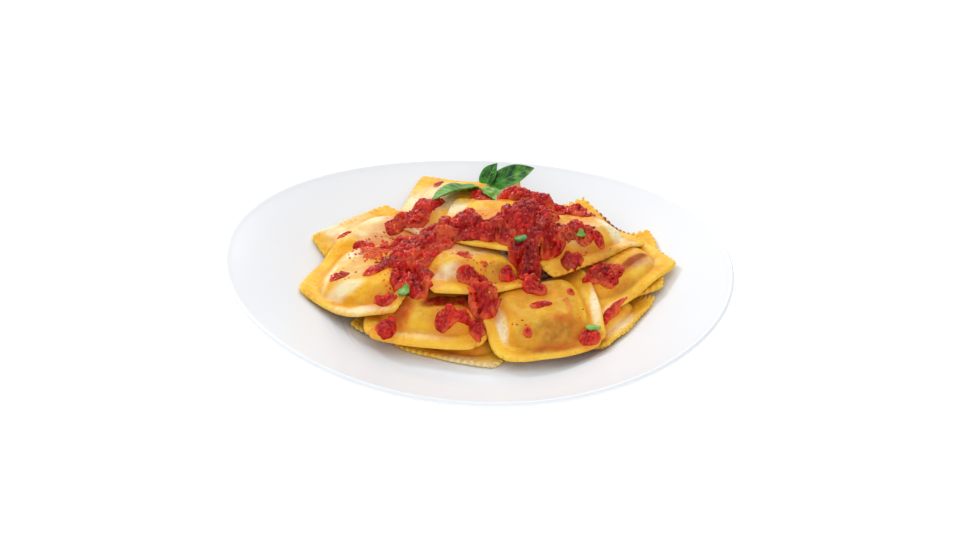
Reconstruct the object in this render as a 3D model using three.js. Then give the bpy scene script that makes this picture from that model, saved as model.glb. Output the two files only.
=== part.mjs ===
// A plate of ravioli with chunky tomato sauce and basil.
//
// Units are millimetres, +Z is up, and the origin is on the plate's axis at the
// level of its foot. +X is to the eater's right and +Y points away from the eater.
//
// The heap is built the way it is served: the plate comes first, then every raviolo
// is laid on what already lies there, from the bottom of the heap to its top, then
// the spoonfuls of sauce, then the basil. "Support" is the surface reached so far.

import * as THREE from 'three';

// ---------------------------------------------------------------- plate sizes
const PLATE_RADIUS = 133.5;
const PLATE_SEGMENTS = 56;
const WELL_RADIUS = 64;
const WELL_HEIGHT = 7;
const WELL_BLEND = 16;        // width of the curve between the well and the rim
const RIM_HEIGHT = 44.8;
const RIM_SWAY = 4.2;         // the rim stands higher at the left and right
const RIM_SWAY_TURN = 0.08;   // radians, turn of that sway about the axis
const FOOT_OUTER = 52;
const FOOT_INNER = 47;
const FLOOR_UNDERSIDE = 3;
const WALL = 4.6;             // at the well, measured upright
const RIM_WALL = 2.8;         // the same at the lip
const LIP_DROP = 1.25;

// -------------------------------------------------------------- raviolo sizes
const SHEET_BULGE = 0.28;      // how far the sides of a raviolo's square bow out
const CORNER_BLUNT = 0.03;    // how far its corners are drawn in, unless stated
const BORDER = 10;            // flat sealed border round the filling
const BORDER_THICKNESS = 2.2;
const FILLING_EDGE = 7.5;     // from the raviolo's side to the foot of its pillow
const FLUTES_PER_SIDE = 10;
const FLUTE_DEPTH = 1.1;
const FOLD_LIMIT = 9;         // how far the soft sheet can sag below its own plane
const CENTRE_SAG = 0.25;      // share of a gap that the filled middle gives way to
const BORDER_SAG = 0.85;      // the same share at the soft border
const CLEARANCE = 0.5;        // gap kept between neighbouring solids

// ------------------------------------------------------------------ the heap
// From the bottom up. x, y: centre. turn: degrees about Z. size: side length.
// filling: height of the pillow. lean: extra slope along x and y.
// curl: lift of the corners front left, front right, back right, back left.
// blunt: how far the corners are drawn in, as a share of the half diagonal.
const RAVIOLI = [
  { name: 'under_front', x: -7, y: -15, turn: -17, size: 60, filling: 5.5 },
  { name: 'under_left', x: -30, y: -3, turn: -23, size: 60, filling: 5.5 },
  { name: 'under_back', x: -14, y: 66, turn: 12, size: 62, filling: 6.5 },
  { name: 'low_right', x: 63, y: -5, turn: 51, size: 50, filling: 4.5 },
  { name: 'core', x: 12, y: 42, turn: -4, size: 62, filling: 8 },
  { name: 'back_right', x: 69, y: 29, turn: 4, size: 62, filling: 4 },
  { name: 'upper_left', x: -51.5, y: 46, turn: -41, size: 64, filling: 6 },
  { name: 'front_left', x: -23, y: -10, turn: -9, size: 68, filling: 6.5, blunt: 0.12 },
  { name: 'right', x: 67.5, y: 22, turn: 41.5, size: 62, filling: 5, lean: [-0.1, 0] },
  { name: 'left', x: -59.5, y: 7, turn: -18, size: 61, filling: 7 },
  { name: 'front_right', x: 33, y: -16, turn: 14.5, size: 63, filling: 8, lean: [0, -0.12],
    blunt: 0.12 },
  { name: 'back', x: -13, y: 79, turn: -13, size: 64, filling: 6.5, lean: [0.15, 0.1],
    curl: [0, 0, 9, 0] },
  { name: 'centre', x: -5.5, y: 15.5, turn: 21, size: 66, filling: 7.5 },
  { name: 'upper_right', x: 48.5, y: 44.5, turn: 32.5, size: 66, filling: 7, lean: [-0.3, 0.1],
    curl: [0, -7, 7, 0] },
  { name: 'top', x: 8, y: 42, turn: -8, size: 60, filling: 7 },
];

// Spoonfuls of sauce, in the order they are laid. length runs along turn, width
// across it, and height is the dome over the support.
const SAUCE_HEAPS = [
  { name: 'heap_left', x: -34.5, y: 19, turn: 20, length: 45, width: 41, height: 4 },
  { name: 'lobe_left', x: -31, y: -10, turn: -60, length: 23, width: 17, height: 3.5 },
  { name: 'streak_back', x: -38.5, y: 64, turn: 34, length: 38, width: 15, height: 3 },
  { name: 'ridge', x: -6, y: 31, turn: 8, length: 44, width: 19, height: 4.5 },
  { name: 'basil_bed', x: 4, y: 78, turn: 10, length: 22, width: 15, height: 3.5 },
  { name: 'heap_back', x: 26, y: 62, turn: 8, length: 38, width: 22, height: 8 },
  { name: 'heap_right', x: 32, y: 30, turn: 5, length: 44, width: 34, height: 5 },
  { name: 'tongue', x: 26.5, y: 3.5, turn: 88, length: 13, width: 11, height: 1.5 },
  { name: 'spoon_right', x: 50, y: 14, turn: 20, length: 14, width: 11, height: 3 },
  { name: 'heap_far_right', x: 66, y: 7, turn: -15, length: 21, width: 17, height: 5 },
  { name: 'spot_corner', x: 54, y: 54, turn: -10, length: 20, width: 9, height: 2.5 },
  { name: 'spot_right', x: 53.5, y: 28, turn: 26, length: 14, width: 14, height: 3 },
  { name: 'heap_front', x: 3, y: -17, turn: 100, length: 20, width: 17, height: 4 },
  { name: 'front_spur', x: -14, y: -32, turn: 19, length: 18, width: 9, height: 3 },
  { name: 'front_drop', x: -1, y: -33, turn: 88, length: 14, width: 8, height: 2.2 },
  { name: 'blob_left', x: -46.5, y: -34, turn: 84, length: 11, width: 11, height: 3 },
  { name: 'dab_left', x: -48, y: -19, turn: -5, length: 13, width: 9, height: 2.2 },
  { name: 'dab_middle', x: -3, y: -7, turn: 20, length: 17, width: 9, height: 2.5 },
  { name: 'dab_centre', x: 15, y: 1, turn: 30, length: 12, width: 11, height: 3 },
  { name: 'dab_front', x: 29.5, y: -8, turn: 10, length: 14, width: 10, height: 3 },
  { name: 'dab_corner', x: 59, y: -34, turn: 7, length: 12, width: 11, height: 3 },
];

// Basil leaves. base and tip are points on the midrib, tilt rolls the blade about
// the midrib, arch lifts its middle and cup lifts its two edges.
const BASIL_LEAVES = [
  { name: 'left', base: [-3, 90, 41], tip: [-26, 76, 38], width: 12, tilt: 5, arch: 2, cup: 1.5 },
  { name: 'right', base: [4, 92, 41], tip: [29, 104, 50], width: 15, tilt: 25, arch: 2, cup: 2 },
  { name: 'upright', base: [1.5, 94.5, 40], tip: [8, 101, 53], width: 11, tilt: 0, arch: 1, cup: 2 },
  { name: 'front', base: [1, 88, 41], tip: [9, 78, 38], width: 8, tilt: 0, arch: 1, cup: 1 },
];
const LEAF_THICKNESS = 0.8;
const BASIL_BITS = [
  { name: 'left', x: -40, y: -16, turn: 70, length: 8, width: 6 },
  { name: 'centre', x: 20.5, y: 15.5, turn: 30, length: 8, width: 5 },
  { name: 'back', x: 54, y: 23, turn: 10, length: 5, width: 4 },
  { name: 'right', x: 60.5, y: -30, turn: 5, length: 8, width: 5 },
];

// ------------------------------------------------------------------- colours
const GLAZE = { color: '#f2f2f2', roughness: 0.15, metalness: 0 };
const PASTA = { color: '#e9bf5e', roughness: 0.4, metalness: 0 };
const SAUCE = { color: '#b3261c', roughness: 0.35, metalness: 0 };
const BASIL = { color: '#2f7a33', roughness: 0.45, metalness: 0 };

const radians = THREE.MathUtils.degToRad;
const clamp = THREE.MathUtils.clamp;

// ----------------------------------------------------------- closed meshes
// Points and triangles are collected here and become one closed geometry.
class Shell {
  constructor() {
    this.points = [];
    this.triangles = [];
  }

  add(x, y, z) {
    this.points.push([x, y, z]);
    return this.points.length - 1;
  }

  triangle(a, b, c) {
    this.triangles.push([a, b, c]);
  }

  quad(a, b, c, d) {
    this.triangle(a, b, c);
    this.triangle(a, c, d);
  }

  geometry() {
    const geometry = new THREE.BufferGeometry();
    const positions = new Float32Array(this.points.flat());
    geometry.setAttribute('position', new THREE.BufferAttribute(positions, 3));
    geometry.setIndex(this.triangles.flat());
    geometry.computeVertexNormals();
    return geometry;
  }
}

function node(name, geometry, finish) {
  const mesh = new THREE.Mesh(geometry, new THREE.MeshStandardMaterial(finish));
  mesh.name = name;
  return mesh;
}

// -------------------------------------------------------------------- plate
function rimShare(radius) {
  return clamp((radius - WELL_RADIUS) / (PLATE_RADIUS - WELL_RADIUS), 0, 1);
}

function rimSway(radius, angle) {
  const share = rimShare(radius);
  return RIM_SWAY * share * share * (3 - 2 * share) * Math.cos(2 * (angle - RIM_SWAY_TURN));
}

function plateProfile(radius) {
  const slope = (RIM_HEIGHT - WELL_HEIGHT) / (PLATE_RADIUS - WELL_RADIUS);
  const start = WELL_RADIUS - WELL_BLEND / 2;
  if (radius <= start) return WELL_HEIGHT;
  if (radius >= start + WELL_BLEND) return WELL_HEIGHT + slope * (radius - WELL_RADIUS);
  return WELL_HEIGHT + slope * (radius - start) ** 2 / (2 * WELL_BLEND);
}

function plateTop(x, y) {
  const radius = Math.hypot(x, y);
  return plateProfile(radius) + rimSway(radius, Math.atan2(y, x));
}

function wall(radius) {
  return RIM_WALL + (WALL - RIM_WALL) * (1 - rimShare(radius)) ** 2;
}

// The radii at which the upper and lower faces of the plate are drawn.
const UPPER_RADII = [0, 56, 61, 67, 72, 100, 129];
const LOWER_RADII = [127, 98, 72, 66, 61];

function makePlate() {
  const profile = UPPER_RADII.map((radius) => [radius, plateProfile(radius)]);
  profile.push([PLATE_RADIUS - 1.4, plateProfile(PLATE_RADIUS - 1.4) - 0.2]);
  profile.push([PLATE_RADIUS, plateProfile(PLATE_RADIUS) - LIP_DROP]);
  profile.push([PLATE_RADIUS - 0.8, plateProfile(PLATE_RADIUS - 0.8) - 2 * LIP_DROP]);
  for (const radius of LOWER_RADII) profile.push([radius, plateProfile(radius) - wall(radius)]);
  profile.push([FOOT_OUTER + 3, plateProfile(FOOT_OUTER) - WALL + 0.2]);
  profile.push([FOOT_OUTER, 0]);
  profile.push([FOOT_INNER, 0]);
  profile.push([FOOT_INNER - 1.5, FLOOR_UNDERSIDE]);
  profile.push([0, FLOOR_UNDERSIDE]);
  const points = profile.map(([radius, height]) => new THREE.Vector2(radius, height)).reverse();
  const geometry = new THREE.LatheGeometry(points, PLATE_SEGMENTS);
  geometry.rotateX(Math.PI / 2);
  const position = geometry.attributes.position;
  for (let i = 0; i < position.count; i += 1) {
    const x = position.getX(i);
    const y = position.getY(i);
    const sway = rimSway(Math.hypot(x, y), Math.atan2(y, x));
    position.setZ(i, position.getZ(i) + sway);
  }
  geometry.computeVertexNormals();
  return node('plate', geometry, GLAZE);
}

// ------------------------------------------------------------------ support
// The height of everything laid so far, on a square grid over the plate.
class Support {
  constructor(half, step) {
    this.half = half;
    this.step = step;
    this.count = Math.round(2 * half / step) + 1;
    this.height = new Float64Array(this.count * this.count);
    for (let i = 0; i < this.count; i += 1) {
      for (let j = 0; j < this.count; j += 1) {
        this.height[i * this.count + j] = plateTop(i * step - half, j * step - half);
      }
    }
    this.spread();
  }

  // The highest level within one grid step, so that edges keep their distance.
  spread() {
    const { count, height } = this;
    this.reach = Float64Array.from(height);
    for (let i = 1; i < count - 1; i += 1) {
      for (let j = 1; j < count - 1; j += 1) {
        let top = height[i * count + j];
        for (let di = -1; di <= 1; di += 1) {
          for (let dj = -1; dj <= 1; dj += 1) {
            top = Math.max(top, height[(i + di) * count + j + dj]);
          }
        }
        this.reach[i * count + j] = top;
      }
    }
  }

  at(x, y) {
    const { count, reach } = this;
    const fi = clamp((x + this.half) / this.step, 0, count - 1.001);
    const fj = clamp((y + this.half) / this.step, 0, count - 1.001);
    const i = Math.floor(fi);
    const j = Math.floor(fj);
    const a = fi - i;
    const b = fj - j;
    const near = reach[i * count + j] * (1 - b) + reach[i * count + j + 1] * b;
    const far = reach[(i + 1) * count + j] * (1 - b) + reach[(i + 1) * count + j + 1] * b;
    return near * (1 - a) + far * a;
  }

  // The level of a soft mass that banks up against higher ground nearby.
  banked(x, y) {
    let level = this.at(x, y);
    for (const radius of [2, 4, 6, 8]) {
      for (let k = 0; k < 12; k += 1) {
        const angle = Math.PI * k / 6;
        const beside = this.at(x + radius * Math.cos(angle), y + radius * Math.sin(angle));
        level = Math.max(level, beside - BANK_SLOPE * radius);
      }
    }
    return level;
  }

  // Raises the grid to a solid's triangles.
  cover(shell) {
    for (const [a, b, c] of shell.triangles) {
      this.coverTriangle(shell.points[a], shell.points[b], shell.points[c]);
    }
    this.spread();
  }

  coverTriangle(a, b, c) {
    const area = (b[0] - a[0]) * (c[1] - a[1]) - (c[0] - a[0]) * (b[1] - a[1]);
    if (Math.abs(area) < 1e-6) return;
    const { half, step, count } = this;
    const low = (k) => Math.ceil((Math.min(a[k], b[k], c[k]) + half) / step);
    const high = (k) => Math.floor((Math.max(a[k], b[k], c[k]) + half) / step);
    for (let i = low(0); i <= high(0); i += 1) {
      for (let j = low(1); j <= high(1); j += 1) {
        const x = i * step - half;
        const y = j * step - half;
        const wb = ((x - a[0]) * (c[1] - a[1]) - (c[0] - a[0]) * (y - a[1])) / area;
        const wc = ((b[0] - a[0]) * (y - a[1]) - (x - a[0]) * (b[1] - a[1])) / area;
        if (wb < -1e-6 || wc < -1e-6 || wb + wc > 1 + 1e-6) continue;
        const z = a[2] + wb * (b[2] - a[2]) + wc * (c[2] - a[2]);
        const index = i * count + j;
        this.height[index] = Math.max(this.height[index], z);
      }
    }
  }
}

// Lifts the points of an underside until each triangle clears the support. The
// corners nearest the place that lacks room rise most.
function clearUnderside(shell, triangles, support) {
  const steps = 6;
  for (let round = 0; round < 30; round += 1) {
    let worst = 0;
    for (const triangle of triangles) {
      const corners = triangle.map((index) => shell.points[index]);
      let lack = 1e-3;
      let shares = null;
      for (let i = 0; i <= steps; i += 1) {
        for (let j = 0; j <= steps - i; j += 1) {
          const weights = [i / steps, j / steps, 1 - (i + j) / steps];
          const [x, y, z] = [0, 1, 2].map((axis) => (
            corners.reduce((sum, corner, k) => sum + weights[k] * corner[axis], 0)));
          const missing = support.at(x, y) + CLEARANCE - z;
          if (missing > lack) {
            lack = missing;
            shares = weights;
          }
        }
      }
      if (!shares) continue;
      const spread = shares.reduce((sum, share) => sum + share * share, 0);
      corners.forEach((corner, k) => {
        corner[2] += lack * shares[k] / spread;
      });
      worst = Math.max(worst, lack);
    }
    if (worst < 2e-3) return;
  }
}

// ------------------------------------------------------------------ ravioli
// A raviolo is a soft square sheet. It takes the slope of what it lies on, comes
// down until its filled middle touches, and then sags into what lies lower.
const SHEET_CELLS = 16;

function sheetMap(raviolo, slope) {
  const half = raviolo.size / 2;
  const cosine = Math.cos(radians(raviolo.turn));
  const sine = Math.sin(radians(raviolo.turn));
  const steep = Math.hypot(slope[0], slope[1]);
  const shrink = 1 / Math.sqrt(1 + steep * steep) - 1;
  const blunt = raviolo.blunt ?? CORNER_BLUNT;
  return (u, v, outset = 0) => {
    const drawnIn = 1 - blunt * Math.min(Math.abs(u), Math.abs(v)) ** 8;
    const bowU = Math.sqrt(1 - SHEET_BULGE * v * v / 2) * drawnIn;
    const bowV = Math.sqrt(1 - SHEET_BULGE * u * u / 2) * drawnIn;
    const reach = half + outset;
    const along = u * bowU * (Math.abs(u) > 0.999 ? reach : half);
    const across = v * bowV * (Math.abs(v) > 0.999 ? reach : half);
    let x = cosine * along - sine * across;
    let y = sine * along + cosine * across;
    if (steep > 1e-6) {
      const down = (x * slope[0] + y * slope[1]) / steep;
      x += shrink * down * slope[0] / steep;
      y += shrink * down * slope[1] / steep;
    }
    return [x, y];
  };
}

function solvePlane(samples) {
  const sums = new THREE.Matrix3();
  const entries = new Array(9).fill(0);
  const right = [0, 0, 0];
  for (const { x, y, z, weight } of samples) {
    const row = [1, x, y];
    for (let i = 0; i < 3; i += 1) {
      for (let j = 0; j < 3; j += 1) entries[i * 3 + j] += weight * row[i] * row[j];
      right[i] += weight * row[i] * z;
    }
  }
  sums.set(...entries).invert();
  const plane = new THREE.Vector3(...right).applyMatrix3(sums);
  return [plane.x, plane.y, plane.z];
}

function sheetSamples(raviolo, slope, support) {
  const map = sheetMap(raviolo, slope);
  const samples = [];
  for (let i = 0; i <= SHEET_CELLS; i += 1) {
    for (let j = 0; j <= SHEET_CELLS; j += 1) {
      const u = 2 * i / SHEET_CELLS - 1;
      const v = 2 * j / SHEET_CELLS - 1;
      const [x, y] = map(u, v);
      const z = support.at(raviolo.x + x, raviolo.y + y) + CLEARANCE;
      const weight = Math.exp(-1.4 * (u * u + v * v));
      samples.push({ u, v, x, y, z, weight, base: weight });
    }
  }
  return samples;
}

function restingSlope(raviolo, support) {
  const lean = raviolo.lean ?? [0, 0];
  let slope = [0, 0];
  for (let round = 0; round < 2; round += 1) {
    const samples = sheetSamples(raviolo, slope, support);
    for (let pass = 0; pass < 3; pass += 1) {
      const [level, gx, gy] = solvePlane(samples);
      slope = [gx + lean[0], gy + lean[1]];
      for (const s of samples) {
        const above = s.z > level + gx * s.x + gy * s.y;
        s.weight = s.base * (above ? 9 : 1);
      }
    }
  }
  return slope;
}

function cornerLift(raviolo, u, v) {
  const corners = [[-1, -1], [1, -1], [1, 1], [-1, 1]];
  let lift = 0;
  (raviolo.curl ?? [0, 0, 0, 0]).forEach((height, k) => {
    const near = clamp((corners[k][0] * u + corners[k][1] * v) / 2 - 0.25, 0, 1) / 0.75;
    lift += height * near * near;
  });
  return lift;
}

function relax(grid, floor, rounds) {
  const last = SHEET_CELLS;
  for (let round = 0; round < rounds; round += 1) {
    const old = grid.map((row) => row.slice());
    const at = (i, j) => {
      const ci = clamp(i, 0, last);
      const cj = clamp(j, 0, last);
      const mirror = old[clamp(2 * ci - i, 0, last)][clamp(2 * cj - j, 0, last)];
      return ci === i && cj === j ? old[i][j] : 2 * old[ci][cj] - mirror;
    };
    for (let i = 0; i <= last; i += 1) {
      for (let j = 0; j <= last; j += 1) {
        const sides = at(i - 1, j) + at(i + 1, j) + at(i, j - 1) + at(i, j + 1);
        grid[i][j] = Math.max(floor[i][j], (2 * old[i][j] + sides) / 6);
      }
    }
  }
}

function layUnderside(raviolo, slope, support) {
  const samples = sheetSamples(raviolo, slope, support);
  const seat = 1 - BORDER * 1.2 / raviolo.size;
  const touching = samples.filter((s) => Math.max(Math.abs(s.u), Math.abs(s.v)) < seat);
  const level = Math.max(...touching.map((s) => s.z - slope[0] * s.x - slope[1] * s.y));
  const soft = 2 * (BORDER + 6) / raviolo.size;
  const grid = [];
  const floor = [];
  samples.forEach((s, k) => {
    const plane = level + slope[0] * s.x + slope[1] * s.y;
    const gap = plane - s.z;
    const out = clamp((Math.max(Math.abs(s.u), Math.abs(s.v)) - 1 + soft) / soft, 0, 1);
    const share = CENTRE_SAG + (BORDER_SAG - CENTRE_SAG) * out * out * (3 - 2 * out);
    const sag = gap > 0 ? FOLD_LIMIT * (1 - Math.exp(-gap * share / FOLD_LIMIT)) : gap;
    const i = Math.floor(k / (SHEET_CELLS + 1));
    if (!grid[i]) {
      grid[i] = [];
      floor[i] = [];
    }
    grid[i].push(Math.max(s.z, plane - sag + cornerLift(raviolo, s.u, s.v)));
    floor[i].push(s.z);
  });
  relax(grid, floor, 5);
  return grid;
}

function gridHeight(grid, u, v) {
  const fi = clamp((u + 1) / 2 * SHEET_CELLS, 0, SHEET_CELLS - 0.001);
  const fj = clamp((v + 1) / 2 * SHEET_CELLS, 0, SHEET_CELLS - 0.001);
  const i = Math.floor(fi);
  const j = Math.floor(fj);
  const near = THREE.MathUtils.lerp(grid[i][j], grid[i][j + 1], fj - j);
  const far = THREE.MathUtils.lerp(grid[i + 1][j], grid[i + 1][j + 1], fj - j);
  return THREE.MathUtils.lerp(near, far, fi - i);
}

function fillingHeight(raviolo, u, v) {
  const inner = 1 - 2 * FILLING_EDGE / raviolo.size;
  const power = 3.2;
  const out = ((Math.abs(u) / inner) ** power + (Math.abs(v) / inner) ** power) ** (1 / power);
  const rise = clamp((1 - out) / 0.5, 0, 1);
  return raviolo.filling * (1 - (1 - rise) ** 2);
}

// The points along one ring of the sheet, a square of half width "ring",
// counter-clockwise from the front left corner.
function ringPoints(ring, perSide) {
  const corners = [[-1, -1], [1, -1], [1, 1], [-1, 1]];
  const points = [];
  for (let side = 0; side < 4; side += 1) {
    const from = corners[side];
    const to = corners[(side + 1) % 4];
    for (let k = 0; k < perSide; k += 1) {
      const t = k / perSide;
      points.push([
        ring * THREE.MathUtils.lerp(from[0], to[0], t),
        ring * THREE.MathUtils.lerp(from[1], to[1], t),
      ]);
    }
  }
  return points;
}

// Joins two closed rings that wind the same way but differ in their point counts.
function stitch(shell, outer, inner, facingUp) {
  const join = (a, b, c) => (facingUp ? shell.triangle(a, b, c) : shell.triangle(a, c, b));
  let i = 0;
  let j = 0;
  while (i < outer.length || j < inner.length) {
    const nextOuter = (i + 1) / outer.length;
    const nextInner = (j + 1) / inner.length;
    const a = outer[i % outer.length];
    const b = inner[j % inner.length];
    if (j >= inner.length || (i < outer.length && nextOuter <= nextInner)) {
      join(a, outer[(i + 1) % outer.length], b);
      i += 1;
    } else {
      join(a, inner[(j + 1) % inner.length], b);
      j += 1;
    }
  }
}

// One face of a raviolo inside its border: square rings round a centre point.
function fillFace(shell, rim, rings, perSide, pointAt, facingUp) {
  let outer = rim;
  for (let k = 0; k < rings.length; k += 1) {
    const inner = ringPoints(rings[k], perSide[k]).map(([u, v]) => pointAt(u, v));
    stitch(shell, outer, inner, facingUp);
    outer = inner;
  }
  stitch(shell, outer, [pointAt(0, 0)], facingUp);
}

function makeRaviolo(raviolo, support) {
  const slope = restingSlope(raviolo, support);
  const map = sheetMap(raviolo, slope);
  const underside = layUnderside(raviolo, slope, support);
  const steep = Math.sqrt(1 + slope[0] ** 2 + slope[1] ** 2);
  const inner = 1 - 2 * FILLING_EDGE / raviolo.size;
  const shell = new Shell();
  const place = (u, v, outset) => {
    const [x, y] = map(u, v, outset);
    return [raviolo.x + x, raviolo.y + y];
  };

  const edge = ringPoints(1, 2 * FLUTES_PER_SIDE);
  const low = edge.map(([u, v], k) => {
    const outset = (k % 2 ? -FLUTE_DEPTH : FLUTE_DEPTH) / 2;
    return shell.add(...place(u, v, outset), gridHeight(underside, u, v));
  });
  const lowPoint = (u, v) => shell.add(...place(u, v), gridHeight(underside, u, v));
  fillFace(shell, low, [inner, inner * 0.5], [4, 2], lowPoint, false);
  clearUnderside(shell, shell.triangles, support);

  const high = low.map((index) => {
    const [x, y, z] = shell.points[index];
    return shell.add(x, y, z + BORDER_THICKNESS * steep);
  });
  const highPoint = (u, v) => {
    const [x, y] = place(u, v);
    const base = Math.max(gridHeight(underside, u, v), support.at(x, y) + CLEARANCE);
    const thickness = BORDER_THICKNESS + fillingHeight(raviolo, u, v);
    return shell.add(x, y, base + thickness * steep);
  };
  const rings = [inner, inner * 0.84, inner * 0.45];
  fillFace(shell, high, rings, [6, 4, 3], highPoint, true);
  for (let k = 0; k < low.length; k += 1) {
    const next = (k + 1) % low.length;
    shell.quad(low[k], low[next], high[next], high[k]);
  }
  support.cover(shell);
  return node(`raviolo_${raviolo.name}`, shell.geometry(), PASTA);
}

// -------------------------------------------------------------------- sauce
// A small repeatable wobble, different for every heap.
function wobble(angle, seed) {
  return Math.sin(2 * angle + seed) * 0.5 + Math.sin(3 * angle + 2.1 * seed) * 0.3
    + Math.sin(5 * angle + 3.7 * seed) * 0.2;
}

const LARGE_HEAP = 18;         // from this length on a heap is modelled more finely
const HEAP_EDGE = 1.1;         // thickness of a heap at its rim
const BANK_SLOPE = 1.1;        // steepest slope at which sauce fills a step

function makeSauceHeap(heap, index, support) {
  const heapPoint = (x, y, dome, swell) => {
    const fill = dome * (support.banked(x, y) - support.at(x, y));
    return { x, y, rise: HEAP_EDGE + heap.height * swell, fill };
  };
  const shell = new Shell();
  const cosine = Math.cos(radians(heap.turn));
  const sine = Math.sin(radians(heap.turn));
  const large = heap.length > LARGE_HEAP;
  const spokes = large ? 14 : 10;
  const shares = large ? [1, 0.74, 0.38] : [1, 0.6];
  const rings = shares.map((share, level) => {
    const ring = [];
    for (let k = 0; k < spokes; k += 1) {
      const angle = 2 * Math.PI * (k + level / 2) / spokes;
      const reach = share * (1 + 0.13 * wobble(angle, index + 1));
      const along = reach * heap.length / 2 * Math.cos(angle);
      const across = reach * heap.width / 2 * Math.sin(angle);
      const x = heap.x + cosine * along - sine * across;
      const y = heap.y + sine * along + cosine * across;
      const dome = 1 - share ** 2.4;
      const swell = dome * (1 + 0.18 * wobble(2 * angle, index + 5));
      ring.push(heapPoint(x, y, dome, swell));
    }
    return ring;
  });
  rings.push([heapPoint(heap.x, heap.y, 1, 1)]);

  const low = rings.map((ring) => ring.map(({ x, y }) => (
    shell.add(x, y, support.at(x, y) + CLEARANCE))));
  for (let k = 0; k + 1 < low.length; k += 1) stitch(shell, low[k], low[k + 1], false);
  clearUnderside(shell, shell.triangles, support);
  const high = low.map((ring, level) => ring.map((point, k) => {
    const [x, y, z] = shell.points[point];
    const { rise, fill } = rings[level][k];
    const filled = support.at(x, y) + CLEARANCE + fill + rise;
    return shell.add(x, y, Math.max(z + HEAP_EDGE, filled));
  }));
  for (let k = 0; k + 1 < high.length; k += 1) stitch(shell, high[k], high[k + 1], true);
  for (let k = 0; k < spokes; k += 1) {
    const next = (k + 1) % spokes;
    shell.quad(low[0][k], low[0][next], high[0][next], high[0][k]);
  }
  support.cover(shell);
  return node(`sauce_${heap.name}`, shell.geometry(), SAUCE);
}

// -------------------------------------------------------------------- basil
const LEAF_STATIONS = 7;
const LEAF_ACROSS = 4;

function bladeWidth(share) {
  return Math.sin(Math.PI * clamp(0.06 + 0.94 * share, 0, 1) ** 0.85) ** 0.8;
}

// Two faces alike over one grid of points, closed along their edges.
function closeBlade(shell, rows, normal, support) {
  const columns = rows[0].length;
  const low = rows.map((row) => row.map((point) => {
    const floor = support.at(point.x, point.y) + CLEARANCE;
    return shell.add(point.x, point.y, Math.max(point.z, floor));
  }));
  const face = (grid, facingUp) => {
    for (let i = 0; i + 1 < rows.length; i += 1) {
      for (let j = 0; j + 1 < columns; j += 1) {
        const [a, b, c, d] = [grid[i][j], grid[i + 1][j], grid[i + 1][j + 1], grid[i][j + 1]];
        if (facingUp) shell.quad(a, b, c, d);
        else shell.quad(a, d, c, b);
      }
    }
  };
  face(low, false);
  clearUnderside(shell, shell.triangles, support);
  const high = low.map((row) => row.map((index) => {
    const [x, y, z] = shell.points[index];
    return shell.add(
      x + normal.x * LEAF_THICKNESS,
      y + normal.y * LEAF_THICKNESS,
      z + normal.z * LEAF_THICKNESS,
    );
  }));
  face(high, true);
  const wall = (from, to) => shell.quad(low[from[0]][from[1]], low[to[0]][to[1]],
    high[to[0]][to[1]], high[from[0]][from[1]]);
  const lastRow = rows.length - 1;
  const lastColumn = columns - 1;
  for (let i = 0; i < lastRow; i += 1) {
    wall([i, 0], [i + 1, 0]);
    wall([i + 1, lastColumn], [i, lastColumn]);
  }
  for (let j = 0; j < lastColumn; j += 1) {
    wall([lastRow, j], [lastRow, j + 1]);
    wall([0, j + 1], [0, j]);
  }
  support.cover(shell);
}

function makeLeaf(leaf, support) {
  const base = new THREE.Vector3(...leaf.base);
  const tip = new THREE.Vector3(...leaf.tip);
  const axis = tip.clone().sub(base).normalize();
  const up = new THREE.Vector3(0, 0, 1);
  const side = up.clone().cross(axis).normalize().applyAxisAngle(axis, radians(leaf.tilt));
  const normal = axis.clone().cross(side).normalize();
  const rows = [];
  for (let i = 0; i <= LEAF_STATIONS; i += 1) {
    const share = i / LEAF_STATIONS;
    const half = Math.max(leaf.width / 2 * bladeWidth(share), 0.5);
    const row = [];
    for (let j = 0; j <= LEAF_ACROSS; j += 1) {
      const across = 2 * j / LEAF_ACROSS - 1;
      const ripple = 0.5 * Math.sin(9 * share + across);
      const lift = leaf.arch * 4 * share * (1 - share) + (leaf.cup + ripple) * across * across
        * bladeWidth(share);
      row.push(base.clone().lerp(tip, share)
        .addScaledVector(side, across * half)
        .addScaledVector(normal, lift));
    }
    rows.push(row);
  }
  const shell = new Shell();
  closeBlade(shell, rows, normal, support);
  return node(`basil_leaf_${leaf.name}`, shell.geometry(), BASIL);
}

function makeBasilBit(bit, support) {
  const cosine = Math.cos(radians(bit.turn));
  const sine = Math.sin(radians(bit.turn));
  const rows = [];
  for (let i = 0; i <= 4; i += 1) {
    const along = i / 2 - 1;
    const half = Math.max(bit.width / 2 * Math.sqrt(1 - along * along), 0.6);
    const row = [];
    for (let j = 0; j <= 2; j += 1) {
      const x = bit.x + cosine * along * bit.length / 2 - sine * (j - 1) * half;
      const y = bit.y + sine * along * bit.length / 2 + cosine * (j - 1) * half;
      row.push(new THREE.Vector3(x, y, support.at(bit.x, bit.y) + 1));
    }
    rows.push(row);
  }
  const shell = new Shell();
  closeBlade(shell, rows, new THREE.Vector3(0, 0, 1), support);
  return node(`basil_bit_${bit.name}`, shell.geometry(), BASIL);
}

// --------------------------------------------------------------------- dish
const group = new THREE.Group();
const support = new Support(PLATE_RADIUS, 1);
group.add(makePlate());
for (const raviolo of RAVIOLI) group.add(makeRaviolo(raviolo, support));
SAUCE_HEAPS.forEach((heap, index) => group.add(makeSauceHeap(heap, index, support)));
for (const bit of BASIL_BITS) group.add(makeBasilBit(bit, support));
for (const leaf of BASIL_LEAVES) group.add(makeLeaf(leaf, support));

export default group;
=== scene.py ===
import math

import bpy
import numpy as np
from mathutils import Matrix, Vector


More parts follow.
